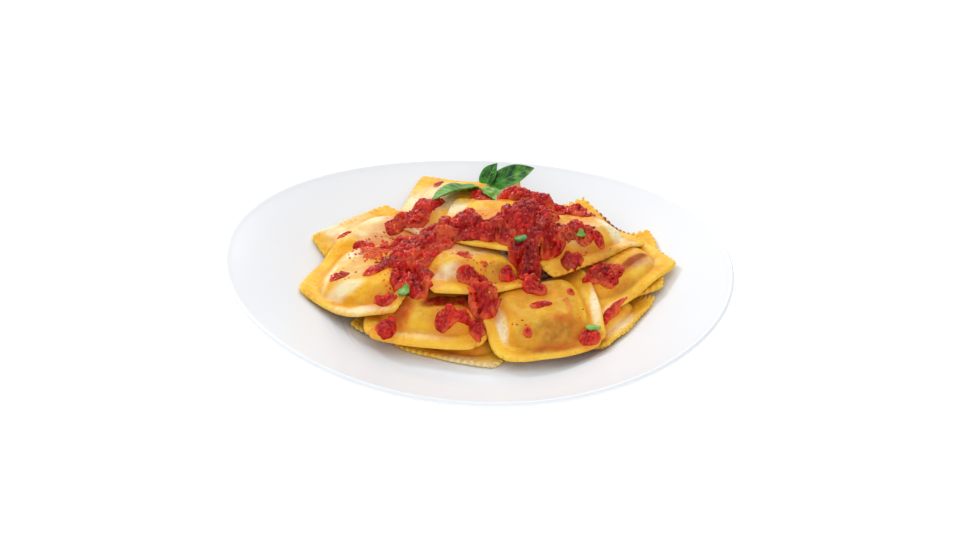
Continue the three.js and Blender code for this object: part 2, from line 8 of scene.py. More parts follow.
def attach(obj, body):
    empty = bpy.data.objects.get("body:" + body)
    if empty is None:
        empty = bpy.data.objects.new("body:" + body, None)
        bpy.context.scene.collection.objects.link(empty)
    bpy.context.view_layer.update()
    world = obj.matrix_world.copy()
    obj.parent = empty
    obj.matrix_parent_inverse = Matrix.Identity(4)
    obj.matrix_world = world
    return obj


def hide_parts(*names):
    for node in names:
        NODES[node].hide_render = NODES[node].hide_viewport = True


# Plate of ravioli with chunky tomato sauce and basil. Lengths are in millimetres
# until a mesh is made, and every piece is built where its CAD solid is.

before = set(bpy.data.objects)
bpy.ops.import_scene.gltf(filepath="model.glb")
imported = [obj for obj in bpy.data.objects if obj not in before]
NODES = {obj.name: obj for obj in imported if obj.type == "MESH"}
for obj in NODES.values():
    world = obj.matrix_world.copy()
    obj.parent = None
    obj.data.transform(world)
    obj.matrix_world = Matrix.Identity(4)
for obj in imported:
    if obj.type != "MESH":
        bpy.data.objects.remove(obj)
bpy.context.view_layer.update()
MM = 0.001

# ------------ plate
PLATE_RADIUS = 133.5
WELL_RADIUS = 64.0
WELL_HEIGHT = 7.0
WELL_BLEND = 16.0
RIM_HEIGHT = 44.8
RIM_SWAY = 4.2  # the rim stands this much higher at its sides
RIM_SWAY_TURN = 0.08
RIM_WALL = 2.8
LIP = 1.5
WALL = 4.6
FLOOR_UNDERSIDE = 3.0
FOOT_OUTER = 52.0
FOOT_INNER = 47.0
# The foot from outside to inside, as steps from its outer and its inner radius, and heights.
FOOT_OUTSIDE = ((2.2, 2.2), (0.9, 1.2), (0.3, 0.3), (-0.3, 0.0))
FOOT_INSIDE = ((0.3, 0.0), (-0.3, 0.4), (-1.2, 2.2), (-2.4, FLOOR_UNDERSIDE))
RINGS = ((69.5, 0.12), (73.0, 0.12), (79.0, 0.08))  # faint throwing rings: radius, height
RING_WIDTH = 0.9
PLATE_SEGMENTS = 256

# ------------ ravioli
SHEET_BULGE = 0.28
CORNER_BLUNT = 0.03
BORDER_THICKNESS = 2.2
FREE_BORDER = 12.0  # this much of the border doesn't carry the sheet
SAG_REACH = 16.0  # the border sags more from here on
CENTRE_SAG = 0.25
BORDER_SAG = 0.85
FOLD_LIMIT = 9.0
CENTRE_WEIGHT = 1.4
PUSH = 9  # what pushes a sheet up counts more than what it spans
CLEARANCE = 0.5
LAYER_GAP = 0.12
FILLING_EDGE = 7.5
FILLING_SQUARENESS = 4.2
DOME_SHOULDER = 0.42
SEAM_WIDTH = 0.05
SEAM_DEPTH = 0.45
FLUTES = 16  # scallops along one side of a raviolo
FLUTE_REACH = 5.0
CRIMP = 0.45  # how much a scallop also rises, for its depth
EDGE_ROUNDING = 1.3
EDGE_TRIM = 0.85
SHEET_CELLS = 16  # cells of the sheet that is laid on its support
FINE = 72  # cells of the sheet that is shown

# Each raviolo: name, x, y, turn, size, height of its filling, depth of its scallops, how much
# the filling shows through the dough. blunt: how much its corners are drawn in. lean: its
# slope besides what it rests at. curl: what its corners are lifted.
RAVIOLI_COLUMNS = ("name", "x", "y", "turn", "size", "filling", "flute", "fill")
RAVIOLI = [
    ("under_front", -7, -15, -17, 60, 5.5, 1.5, 0.1),
    ("under_left", -30, -3, -23, 60, 5.5, 2.2, 0.1),
    ("under_back", -14, 66, 12, 62, 6.5, 1.0, 0.1),
    ("low_right", 63, -5, 51, 50, 4.5, 2.6, 0.1),
    ("core", 12, 42, -4, 62, 8, 1.4, 0.1),
    ("back_right", 69, 29, 4, 62, 4, 1.3, 0.2),
    ("upper_left", -51.5, 46, -41, 64, 6, 0.5, 0.1),
    ("front_left", -23, -10, -9, 68, 6.5, 0.15, 0.4, dict(blunt=0.12)),
    ("right", 67.5, 22, 41.5, 62, 5, 0.4, 0.2, dict(lean=(-0.1, 0))),
    ("left", -59.5, 7, -18, 61, 7, 0.45, 0.05),
    ("front_right", 33, -16, 14.5, 63, 8, 0.12, 0.35, dict(blunt=0.12, lean=(0, -0.12))),
    ("back", -13, 79, -13, 64, 6.5, 0.2, 0.0, dict(lean=(0.15, 0.1), curl=(0, 0, 9, 0))),
    ("centre", -5.5, 15.5, 21, 66, 7.5, 0.3, 0.12),
    ("upper_right", 48.5, 44.5, 32.5, 66, 7, 1.2, 0.12, dict(lean=(-0.3, 0.1),
         curl=(-7, -7, 7, 0))),
    ("top", 8, 42, -8, 60, 7, 0.3, 0.1),
]

# Marks on the ravioli, as x, y, length, width, turn and strength of each: tomato oil, filling
# that shows through, dough with a film of sauce on it, and painted highlights where the dough is
# painted paler. The oil, filling and sauce-film marks also hold painted shade in places.
# Tomato oil. The row on right and both rows on front_left are also painted shade, under
# upper_right's edge, under centre's front edge and by the left raviolo's corner.
OIL_AND_SHADE = {
    "front_left": [(-38, -25, 20, 13, 75, 0.9), (-13, -23, 26, 8, 10, 0.6)],
    "right": [(80, 12, 30, 7, 40, 0.5)],
    "front_right": [(45, -39.5, 36, 6, 10, 0.6), (48, -22, 26, 4, 98, 0.55),
        (44, -29, 10, 7, 0, 0.6)],
    "core": [(33, 6, 10, 8, 0, 0.7)],
    "back": [(-25, 98, 20, 8, 80, 0.45)],
    "upper_right": [(63, 24, 14, 9, 20, 0.3), (52, 42, 24, 24, 0, 0.4)],
    "left": [(-55, 24, 24, 24, 0, 0.75)],
    "low_right": [(71, -15, 24, 8, 48, 0.5)],
    "upper_left": [(-50, 45, 34, 18, 15, 0.6)],
    "centre": [(-9, 4, 12, 10, 0, 0.3)],
}
# Filling that shows through the dough. The rows on right and the row at (-38, -25) on front_left
# are painted shade, under upper_right's edge and by the left raviolo's corner.
FILLING_AND_SHADE = {
    "front_right": [(42, -34, 32, 19, 12, 0.9), (28, -36, 22, 10, 12, 0.5),
        (33, -22, 14, 9, 0, 0.2), (40, -41, 40, 7, 12, 0.9)],
    "centre": [(8, -3, 16, 9, 0, 0.5), (-4, 6, 16, 8, 20, 0.4)],
    "upper_right": [(69, 21, 17, 10, 20, 0.6), (58, 22, 18, 10, 20, 0.3)],
    "right": [(76, -1, 26, 7, 40, 0.55), (81, 13, 28, 7, 40, 0.5)],
    "front_left": [(-20, -28, 34, 18, 0, 0.4), (-38, -25, 16, 11, 75, 0.9)],
    "left": [(-62, 2, 20, 12, 0, 0.25)],
    "under_front": [(0, -46, 40, 10, -17, 0.25)],
}
# Dough with a film of sauce on it. Most rows paint shade in dark red as well: the holes between
# core, right and centre below top's edge, the shadow under upper_right's edge on right, and under
# centre's front edge and by the left raviolo's corner on front_left.
SAUCE_FILM_AND_SHADE = {
    "front_left": [(-13, -20, 36, 9, 13, 1.0), (-39, -24, 15, 9, 75, 0.35)],
    "right": [(79.5, 13.5, 30, 5, 40, 0.75), (40, 32, 16, 16, 0, 0.9)],
    "upper_right": [(76, 62, 44, 5.5, -57, 1.0)],
    "low_right": [(69, -13, 22, 5, 48, 0.9)],
    "core": [(36, 48, 24, 24, 0, 0.9)],
    "centre": [(20, 34, 17, 15, 0, 0.6), (14, 0, 12, 8, 30, 0.35)],
    "left": [(-31, -6, 16, 14, 0, 0.5)],
}
# Painted highlights: the dough is painted paler where light catches it, and on under_front where
# it lies in shade.
PAINTED_HIGHLIGHT = {
    "left": [(-67, 19, 22, 9, 20, 0.95), (-78, 4, 26, 4.5, 72, 0.9), (-69, -8, 20, 9, 12, 0.85),
        (-60, -21.5, 32, 6, -14, 0.8), (-58, 30, 16, 9, 0, 0.4), (-70, 8, 28, 34, 0, 0.3)],
    "upper_left": [(-60, 62, 20, 12, 20, 0.9), (-80, 54, 20, 11, 40, 0.9),
        (-64, 55, 50, 42, 0, 0.45), (-66, 48, 14, 7, 0, 0.7), (-48, 66, 18, 14, 0, 0.6)],
    "back": [(-35, 57, 20, 14, 0, 0.95), (-37, 90, 18, 14, 0, 0.85), (-20, 72, 20, 14, 0, 0.7),
        (12, 96, 26, 12, 0, 0.6), (-30, 84, 34, 40, 0, 0.75)],
    "under_left": [(-55, -27, 16, 12, 0, 0.8), (-55, -30, 14, 8, 0, 0.6)],
    "top": [(-14, 63, 20, 13, 10, 0.9), (6, 60, 18, 10, 0, 0.4)],
    "centre": [(-17, -9, 18, 8, 10, 0.85), (-22, 18, 12, 20, 0, 0.6), (-8, 14, 40, 26, 20, 0.35)],
    "front_right": [(13, -30, 24, 5.5, 104, 0.95), (62, -14, 30, 5, 96, 0.95),
        (24, -3, 26, 5, 14, 0.35)],
    "core": [(38, 9, 12, 8, 0, 0.8)],
    "upper_right": [(50, 30, 34, 20, 32, 0.5), (71.5, 38, 30, 11, -52, 1.0),
        (82, 30, 14, 7, -30, 0.5)],
    "right": [(88, 16, 20, 6, 40, 0.35), (70, -12, 26, 4, 40, 0.4)],
    "low_right": [(76, -20, 24, 9, 50, 0.7)],
    "under_front": [(4, -50, 50, 14, -17, 0.6)],
    "front_left": [(-28, -38, 34, 5, -8, 0.35)],
}
# Each kind's places, where it begins and is strongest as shares of its oval, and how ragged.
STAINS = {
    "oil_and_shade": (OIL_AND_SHADE, 1.2, 0.5, 0.25),
    "fill": (FILLING_AND_SHADE, 1.2, 0.4, 0.2),
    "pale_tint_and_highlight": (PAINTED_HIGHLIGHT, 1.25, 0.35, 0.3),
    "sauce_film_and_shade": (SAUCE_FILM_AND_SHADE, 1.15, 0.75, 0.2),
}
HEAP_STAIN = 0.4  # oil round a spoonful of sauce
HEAP_STAIN_REACH = 8

# ------------ sauce
# Each spoonful, a patch with its own ragged outline: name, x, y, length, width, turn, height.
# dark: how much darker the red is, its own deep red where it is thick and painted shade
# where the patch lies in shadow. light: how much of it is orange pulp. slim: what is taken off all
# round, because its edge thins out. joined: it also runs down over the edge of the raviolo
# behind it. also: more ovals of the same patch. bare: ovals it leaves free.
SAUCE_HEAPS = [
    ("heap_left", -34.5, 19, 45, 41, 20, 4, dict(light=0.55,
         also=((-45, 36, 22, 13, 40), (-26, 34, 22, 16, 10)), bare=((-56, 19, 20, 22, 0),))),
    ("lobe_left", -31, -10, 23, 17, -60, 3.5, dict(dark=0.4, also=((-41, -5, 17, 10, 80),),
         bare=((-20.5, -14, 8, 13, 0),))),
    ("streak_back", -38.5, 64, 38, 15, 34, 3, dict(light=0.4,
         also=((-37, 73, 15, 8, 50), (-46, 58, 13, 12, 30), (-28, 71, 11, 5, 25)),
         bare=((-22, 64, 18, 12, 30),))),
    ("ridge", -6, 31, 44, 19, 8, 4.5, dict(light=0.15,
         also=((-17, 37, 24, 15, 110), (-4, 20, 34, 10, 6)), bare=((6, 43, 31, 18, 78),))),
    ("basil_bed", 4, 78, 22, 15, 10, 3.5, dict(dark=0.4)),
    ("heap_back", 26, 62, 38, 22, 8, 8, dict(dark=0.35, light=0.3, also=((40, 68, 18, 15, -30),))),
    ("heap_right", 32, 30, 44, 34, 5, 5, dict(dark=0.3,
         also=((12, 24, 18, 9, 20), (46, 25, 20, 11, 14)), bare=((48, 39, 15, 9, 20),))),
    ("tongue", 26.5, 3.5, 13, 11, 88, 1.5, dict(dark=0.6, slim=0, joined=True,
         also=((27, 8, 15, 11, 90), (20, 13, 12, 8, 15)))),
    ("spoon_right", 48.5, 13, 14, 10, 20, 3),
    ("heap_far_right", 66, 7, 21, 17, -15, 5, dict(dark=1.0)),
    ("spot_corner", 54, 54, 20, 9, -10, 2.5, dict(also=((52, 62, 13, 20, 10),))),
    ("spot_right", 53.5, 28, 14, 14, 26, 3),
    ("heap_front", 3, -17, 20, 17, 100, 4, dict(light=0.8)),
    ("front_spur", -14, -32, 18, 9, 19, 3, dict(slim=0.5, also=((-8.5, -30.5, 12, 7, 25),))),
    ("front_drop", 1, -33.5, 14, 8, 88, 2.2, dict(dark=0.5, slim=0.7)),
    ("blob_left", -46.5, -34, 11, 11, 84, 3),
    ("dab_left", -48, -19, 13, 9, -5, 2.2, dict(slim=1.0)),
    ("dab_middle", -4, -9, 17, 8, 18, 2.5, dict(slim=1.3)),
    ("dab_centre", 15, -2, 14, 8, 14, 2.5, dict(slim=0.6)),
    ("dab_front", 29.5, -8, 14, 10, 10, 3),
    ("dab_corner", 59, -34, 12, 11, 7, 3),
]
USUAL_SLIM = 0.3
BIG_HEAP = 18.0  # a patch as wide as this bridges the edges it lies across
# Thin smears that the solids leave out: x, y, length, width, turn, height, and how much darker
# they are, own deep red and painted shade.
THIN_SAUCE = [
    (-62, 35.5, 13, 6, 5, 1.2, 0.2), (-54, 0.5, 17, 7, 14, 1.3, 0.1),
    (-73, 0.5, 12, 5, 25, 0.5, 0), (-75, 48, 10, 5, 0, 0.6, 0), (-8.5, 3.5, 8, 7, 0, 0.6, 0),
    (33, -19.5, 12, 5.5, 0, 1.0, 0.1), (26.3, -37, 7, 5, 0, 1.3, 0), (49, -8, 4, 5, 0, 0.6, 0),
    (63.5, 28, 9, 6, -60, 1.2, 0.2), (13.5, 18, 14, 9, 0, 1.5, 0), (3.5, -1.5, 6, 5, 0, 0.9, 0),
    (-25, 99, 15, 5, 80, 0.4, 0), (72.5, -12.5, 21, 4, 48, 0.8, 0.6),
    (-42, 47, 18, 8, 15, 0.4, 0), (-27, 54, 13, 9, 20, 1.2, 0.1),
    (43, 55, 10, 10, 0, 1.2, 0.2), (57, 31, 10, 5, 30, 0.8, 0.1),
]
# Loose grains of tomato: x, y, length, width, turn of each strewn field, and how many.
GRAINS = [
    (-54, 23, 20, 26, 0, 620), (-48, 46, 32, 18, 15, 190), (-64, 18, 14, 14, 0, 25),
    (-8, 3, 15, 12, 0, 32), (13, 20, 18, 13, 0, 50), (4, -3, 22, 10, 0, 18),
    (-45, -10, 10, 18, 0, 26), (61, 25, 20, 10, 0, 14), (44, 62, 24, 18, 0, 40),
    (51, 18, 14, 14, 0, 24), (26, -6, 22, 9, 0, 12), (-38, 60, 32, 20, 30, 60),
    (50, -20, 18, 18, 0, 8), (22, -34, 16, 8, 0, 9), (-12, -28, 26, 14, 0, 20),
    (4, -16, 20, 24, 0, 30), (66, 6, 24, 20, 0, 22), (30, 30, 46, 38, 0, 60),
    (-6, 32, 46, 26, 0, 60), (-72, 0, 16, 9, 20, 16), (59, -33, 16, 13, 0, 12),
]
HEAP_EDGE = 1.5  # height of a spoonful at its edge
SWELL = 0.75
SWELL_REACH = 3.2
BANK_SLOPE = 1.1
SPOON_FILL = 0.35  # how far a small patch fills the steps below it; a big one wholly
SAUCE_CELL = 0.42
PATCH_CORE = 0.55  # the share of its depth that a patch spreads from
# How steep a step of the ground a patch crosses within a cell.
SPOON_STEP = 1.1
HEAP_STEP = 2.2
ANY_STEP = 99
SMEAR_GRAIN = 0.6  # how lumpy a thin smear is, beside a spoonful
LUMP = 2.4  # size of the crushed tomato's lumps
LUMP_RISE = 1.3
FINE_LUMP = 1.3
FINE_RISE = 0.6
LUMP_LEVEL = 0.75  # lumps below this dent the surface
LUMPINESS = 1.3
GRAIN_SIZE = (0.3, 0.8)
GRAIN_STEP = 2.4  # no grain lies where the ground is steeper
GRAIN_GRID = (5, 8)

# ------------ basil
# Leaves: name, base, tip, width, tilt, arch, cup and how much paler and younger it is.
BASIL_LEAVES = [
    ("left", (-3, 89, 41), (-27, 68.5, 44), 17, 16, 2, 3, 0.35),
    ("right", (4, 92, 41), (29, 103, 50), 13.5, 25, 2, 2, 0.0),
    ("upright", (1.5, 94.5, 40), (8, 101, 53), 11, 0, 1, 2, 0.0),
    ("front", (1, 88, 42), (10.8, 69.5, 44), 12, 0, 1, 1, 0.6),
]
# Small bits of a leaf: name, x, y, turn, length, width and how much paler it is.
BASIL_BITS = [
    ("left", -38.5, -18.5, 70, 8, 6, 0.4),
    ("centre", 21.5, 12.2, 48, 8, 5.5, 0.0),
    ("back", 54, 22.5, 10, 5, 2.6, 0.7),
    ("right", 60.5, -30, 5, 8, 5, 0.8),
]
LEAF_GRID = (49, 25)
BIT_GRID = (25, 17)
LEAF_GAP = 0.3
BIT_THICKNESS = 0.6
VEINS = 6.5  # side veins along a leaf

# ------------ stage and camera
TABLE_SIZE = 6.0
LAMP_AIM = Vector((0, 0, 0.03))
# Round studio lamps, in metres and watts: name, place, size, power.
LAMPS = (
    ("key", (-0.8, 0.65, 0.75), 0.24, 4.4),
    ("back", (0.05, 1.15, 0.7), 0.8, 4.3),
    ("fill", (0.1, -1.0, 0.55), 0.8, 2.0),
)
# The white sky is dimmer near the horizon: how strong it is at two heights.
DOME_HEIGHTS = (0.25, 0.95)
DOME_STRENGTHS = (0.34, 1.02)

IMAGE_WIDTH = 960
SENSOR = 36.0
FOCAL_PIXELS = 1890.3
ELEVATION = math.radians(28.9)
ROLL = math.radians(2.62)
DISTANCE = 1.0
AIM = Vector((0, 0, 0.030))
AIM_OFFSET = (2.1, 13.56)  # pixels from the aim point to the frame's centre


# ------------ noise
def smoothstep(low, high, value):
    t = np.clip((value - low) / (high - low), 0, 1)
    return t * t * (3 - 2 * t)


def hash01(ix, iy, seed):
    h = (ix * 374761393 + iy * 668265263 + seed * 1442695041) & 0xFFFFFFFF
    h = ((h ^ (h >> 13)) * 1274126177) & 0xFFFFFFFF
    h = ((h ^ (h >> 15)) * 2246822519) & 0xFFFFFFFF
    return ((h ^ (h >> 16)) & 0xFFFFFF) / float(0xFFFFFF)


def value_noise(x, y, scale, seed):
    """Smooth noise from -1 to 1 with lumps of the given size."""
    fx = np.asarray(x, float) / scale + 1000.5
    fy = np.asarray(y, float) / scale + 1000.5
    ix = np.floor(fx).astype(np.int64)
    iy = np.floor(fy).astype(np.int64)
    a = smoothstep(0, 1, fx - ix)
    b = smoothstep(0, 1, fy - iy)
    low = hash01(ix, iy, seed) * (1 - a) + hash01(ix + 1, iy, seed) * a
    high = hash01(ix, iy + 1, seed) * (1 - a) + hash01(ix + 1, iy + 1, seed) * a
    return 2 * (low * (1 - b) + high * b) - 1


def fractal(x, y, scale, seed, octaves=3):
    weights = 0.5 ** np.arange(octaves)
    layers = (value_noise(x, y, scale / 2 ** k, seed + 17 * k) for k in range(octaves))
    return sum(weight * layer for weight, layer in zip(weights, layers)) / weights.sum()


def lumps(points, cell, seed):
    """Distance to the nearest scattered point, in cells, and that point's own number."""
    scaled = points / cell + 1000.0
    corner = np.floor(scaled).astype(np.int64)
    best = np.full(points.shape[:-1], 9.0)
    own = np.zeros(points.shape[:-1])
    for step in np.ndindex(3, 3, 3):
        cx, cy, cz = np.moveaxis(corner + step - 1, -1, 0)
        key = (cx + 57 * cz, cy - 91 * cz)
        away = np.zeros(best.shape)
        for axis, at in enumerate((cx, cy, cz)):
            centre = at + 0.12 + 0.76 * hash01(*key, seed + axis)
            away += (centre - scaled[..., axis]) ** 2
        away = np.sqrt(away)
        nearer = away < best
        best = np.where(nearer, away, best)
        own = np.where(nearer, hash01(*key, seed + 7), own)
    return best, own


# ------------ grids
def sheet_grid(rows, columns):
    """Two coordinates from -1 to 1 over a sheet."""
    return np.meshgrid(np.linspace(-1, 1, rows), np.linspace(-1, 1, columns), indexing="ij")


def bilinear(grid, row, column):
    """Values between the points of a grid."""
    row = np.clip(row, 0, grid.shape[0] - 1 - 1e-6)
    column = np.clip(column, 0, grid.shape[1] - 1 - 1e-6)
    i = np.floor(row).astype(int)
    j = np.floor(column).astype(int)
    a = row - i
    b = column - j
    near = grid[i, j] * (1 - b) + grid[i, j + 1] * b
    far = grid[i + 1, j] * (1 - b) + grid[i + 1, j + 1] * b
    return near * (1 - a) + far * a


def between(grid, shift):
    """The grid's values half a cell on, along one or both of its directions."""
    if shift[0]:
        grid = (grid[1:, :] + grid[:-1, :]) / 2
    if shift[1]:
        grid = (grid[:, 1:] + grid[:, :-1]) / 2
    return grid


def shifted(grid, empty):
    """The grid's eight neighbours and itself, one after another."""
    wide = np.pad(grid, 1, constant_values=empty)
    rows, columns = grid.shape
    return [wide[dx:dx + rows, dy:dy + columns] for dx in (0, 1, 2) for dy in (0, 1, 2)]


def relax(grid, floor, rounds):
    for _ in range(rounds):
        wide = np.pad(grid, 1, mode="reflect", reflect_type="odd")
        sides = wide[:-2, 1:-1] + wide[2:, 1:-1] + wide[1:-1, :-2] + wide[1:-1, 2:]
        grid = np.maximum(floor, (2 * grid + sides) / 6)
    return grid


def turned(x, y, turn):
    """A place turned round the middle by degrees."""
    c = math.cos(math.radians(turn))
    s = math.sin(math.radians(turn))
    return c * x - s * y, s * x + c * y


def spot(x, y, cx, cy, length, width, turn):
    """Distance from an oval's middle, where 1 is its outline."""
    along, across = turned(x - cx, y - cy, -turn)
    return np.hypot(along / (length / 2), across / (width / 2))


def bead(away, width):
    """The height of a round lump at a distance from its middle."""
    return np.sqrt(np.clip(1 - (away / width) ** 2, 0, 1))


def rounded_edge(depth, width):
    """How far a rounded edge has risen at a depth inside it."""
    return bead(1 - np.clip(depth / width, 0, 1), 1)


# ------------ plate surface
def plate_profile(radius):
    radius = np.asarray(radius, float)
    slope = (RIM_HEIGHT - WELL_HEIGHT) / (PLATE_RADIUS - WELL_RADIUS)
    start = WELL_RADIUS - WELL_BLEND / 2
    curve = slope * (radius - start) ** 2 / (2 * WELL_BLEND)
    rim = slope * (radius - WELL_RADIUS)
    above = np.where(radius <= start, 0, np.where(radius >= start + WELL_BLEND, rim, curve))
    return WELL_HEIGHT + above


def rim_share(radius):
    return np.clip((radius - WELL_RADIUS) / (PLATE_RADIUS - WELL_RADIUS), 0, 1)


def rim_sway(radius, angle):
    share = rim_share(radius)
    turn = np.cos(2 * (angle - RIM_SWAY_TURN))
    return RIM_SWAY * share * share * (3 - 2 * share) * turn


def plate_top(x, y):
    radius = np.hypot(x, y)
    return plate_profile(radius) + rim_sway(radius, np.arctan2(y, x))


# ------------ support
class Support:
    """The height of everything laid so far, on a square grid over the plate."""

    def __init__(self, step):
        self.step = step
        self.count = int(round(2 * PLATE_RADIUS / step)) + 1
        line = np.arange(self.count) * step - PLATE_RADIUS
        x, y = np.meshgrid(line, line, indexing="ij")
        self.height = plate_top(x, y)
        self.spread()

    def cell(self, value):
        return (np.asarray(value, float) + PLATE_RADIUS) / self.step

    def spread(self):
        """Widens everything by a cell, so that nothing is laid into its edge."""
        self.reach = np.max(shifted(self.height, -1e3), axis=0)

    def at(self, x, y):
        return bilinear(self.reach, self.cell(x), self.cell(y))

    def exact(self, x, y):
        return bilinear(self.height, self.cell(x), self.cell(y))

    def banked(self, x, y):
        """The level of what leans against everything near by."""
        level = self.at(x, y)
        for radius in (2, 4, 6, 8):
            for k in range(12):
                angle = math.pi * k / 6
                beside = self.at(x + radius * math.cos(angle), y + radius * math.sin(angle))
                level = np.maximum(level, beside - BANK_SLOPE * radius)
        return level

    def cover(self, points, triangles):
        """Raises the grid to a solid's triangles."""
        for corners in points[triangles]:
            a, b, c = corners
            area = (b[0] - a[0]) * (c[1] - a[1]) - (c[0] - a[0]) * (b[1] - a[1])
            low = np.ceil(self.cell(corners.min(axis=0))).astype(int)
            high = np.floor(self.cell(corners.max(axis=0))).astype(int)
            if abs(area) < 1e-6 or (low > high)[:2].any():
                continue
            i = np.arange(low[0], high[0] + 1)[:, None]
            j = np.arange(low[1], high[1] + 1)[None, :]
            x = i * self.step - PLATE_RADIUS
            y = j * self.step - PLATE_RADIUS
            wb = ((x - a[0]) * (c[1] - a[1]) - (c[0] - a[0]) * (y - a[1])) / area
            wc = ((b[0] - a[0]) * (y - a[1]) - (x - a[0]) * (b[1] - a[1])) / area
            z = a[2] + wb * (b[2] - a[2]) + wc * (c[2] - a[2])
            inside = (wb >= -1e-6) & (wc >= -1e-6) & (wb + wc <= 1 + 1e-6)
            part = self.height[low[0]:high[0] + 1, low[1]:high[1] + 1]
            part[inside] = np.maximum(part[inside], z[inside])
        self.spread()

    def drop_points(self, x, y, z):
        """Raises the cells under densely placed points."""
        i, j = (np.clip(np.rint(self.cell(value)).astype(int), 0, self.count - 1).ravel()
                for value in (x, y))
        np.maximum.at(self.height, (i, j), z.ravel())
        self.spread()


def cad_triangles(name):
    mesh = NODES[name].data
    mesh.calc_loop_triangles()
    points = np.zeros(len(mesh.vertices) * 3)
    mesh.vertices.foreach_get("co", points)
    triangles = np.zeros(len(mesh.loop_triangles) * 3, int)
    mesh.loop_triangles.foreach_get("vertices", triangles)
    return points.reshape(-1, 3) / MM, triangles.reshape(-1, 3)


# ------------ mesh building
def at_height(x, y, z):
    return np.stack([x, y, z], -1)


def add_object(name, data):
    made = bpy.data.objects.new(name, data)
    bpy.context.scene.collection.objects.link(made)
    return made


def build_piece(name, slot, points, faces, fields):
    """A piece of the dish. It takes the place of the solid with its name, if there is one."""
    served = f"{name}_served" if name in NODES else name
    mesh = bpy.data.meshes.new(served)
    mesh.from_pydata((np.asarray(points) * MM).tolist(), [], faces)
    mesh.update()
    mesh.polygons.foreach_set("use_smooth", [True] * len(mesh.polygons))
    for field, values in fields.items():
        attribute = mesh.attributes.new(field, "FLOAT", "POINT")
        attribute.data.foreach_set("value", np.asarray(values, np.float32))
    mesh.materials.append(MATERIALS[slot])
    piece = add_object(served, mesh)
    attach(piece, "root")
    if name in NODES:
        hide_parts(name)


def grid_faces(rows, columns, offset=0, flip=False, closed=False):
    """Faces of a grid of points. A closed one joins its last column to its first."""
    i, j = np.meshgrid(np.arange(rows - 1), np.arange(columns if closed else columns - 1),
                       indexing="ij")
    a = (offset + i * columns + j).ravel()
    b = (offset + i * columns + (j + 1) % columns).ravel()
    corners = [a, b, b + columns, a + columns] if flip else [a, a + columns, b + columns, b]
    return np.stack(corners, 1).tolist()


def fan_faces(start, columns, tip, flip=False):
    """Faces between a ring of points, which closes round, and one more point."""
    ring = start + np.arange(columns)
    after = np.roll(ring, -1)
    ends = [after, ring] if flip else [ring, after]
    return np.stack([*ends, np.full(columns, tip)], 1).tolist()


def sheet_piece(name, slot, high, low, fields):
    """A closed sheet, from the grids of points of its top and its underside."""
    rows, columns = high.shape[:2]
    count = rows * columns
    last = (rows - 1) * columns
    ring = np.concatenate([
        np.arange(rows - 1) * columns,
        last + np.arange(columns - 1),
        last + columns - 1 - np.arange(rows - 1) * columns,
        columns - 1 - np.arange(columns - 1)])
    after = np.roll(ring, -1)
    faces = grid_faces(rows, columns) + grid_faces(rows, columns, count, flip=True)
    faces += np.stack([ring, ring + count, after + count, after], 1).tolist()
    points = np.concatenate([high.reshape(-1, 3), low.reshape(-1, 3)])
    both = {key: np.tile(np.broadcast_to(value, (rows, columns)).ravel(), 2)
            for key, value in fields.items()}
    build_piece(name, slot, points, faces, both)


# ------------ ravioli
def named(row):
    """A raviolo's row as named values, with what its last entry adds."""
    values = dict(zip(RAVIOLI_COLUMNS, row))
    values.update(*row[len(RAVIOLI_COLUMNS):])
    return values


def sheet_plan(row, slope, u, v, out_u=0.0, out_v=0.0):
    """Where the sheet's points lie in plan, round its own middle."""
    half = row["size"] / 2
    drawn_in = 1 - row.get("blunt", CORNER_BLUNT) * np.minimum(np.abs(u), np.abs(v)) ** 8
    bow_u = np.sqrt(1 - SHEET_BULGE * v * v / 2) * drawn_in
    bow_v = np.sqrt(1 - SHEET_BULGE * u * u / 2) * drawn_in
    x, y = turned(u * bow_u * (half + out_u), v * bow_v * (half + out_v), row["turn"])
    steep = math.hypot(*slope)
    if steep > 1e-6:
        shrink = 1 / math.sqrt(1 + steep * steep) - 1
        down = (x * slope[0] + y * slope[1]) / steep
        x = x + shrink * down * slope[0] / steep
        y = y + shrink * down * slope[1] / steep
    return x, y


def resting_slope(row, support):
    lean = row.get("lean", (0, 0))
    u, v = sheet_grid(SHEET_CELLS + 1, SHEET_CELLS + 1)
    base = np.exp(-CENTRE_WEIGHT * (u * u + v * v)).ravel()
    slope = (0.0, 0.0)
    for _ in range(2):
        x, y = sheet_plan(row, slope, u, v)
        z = (support.at(row["x"] + x, row["y"] + y) + CLEARANCE).ravel()
        rows = np.stack([np.ones(z.size), x.ravel(), y.ravel()], 1)
        weight = base.copy()
        for _ in range(3):
            level, gx, gy = np.linalg.solve((rows * weight[:, None]).T @ rows,
                                            (rows * weight[:, None]).T @ z)
            slope = (gx + lean[0], gy + lean[1])
            weight = base * np.where(z > rows @ (level, gx, gy), PUSH, 1)
    return slope


def corner_lift(row, u, v):
    lift = np.zeros(np.shape(u))
    corners = ((-1, -1), (1, -1), (1, 1), (-1, 1))
    for (cu, cv), height in zip(corners, row.get("curl", (0, 0, 0, 0))):
        near = np.clip((cu * u + cv * v) / 2 - 0.25, 0, 1) / 0.75
        lift = lift + height * near * near
    return lift


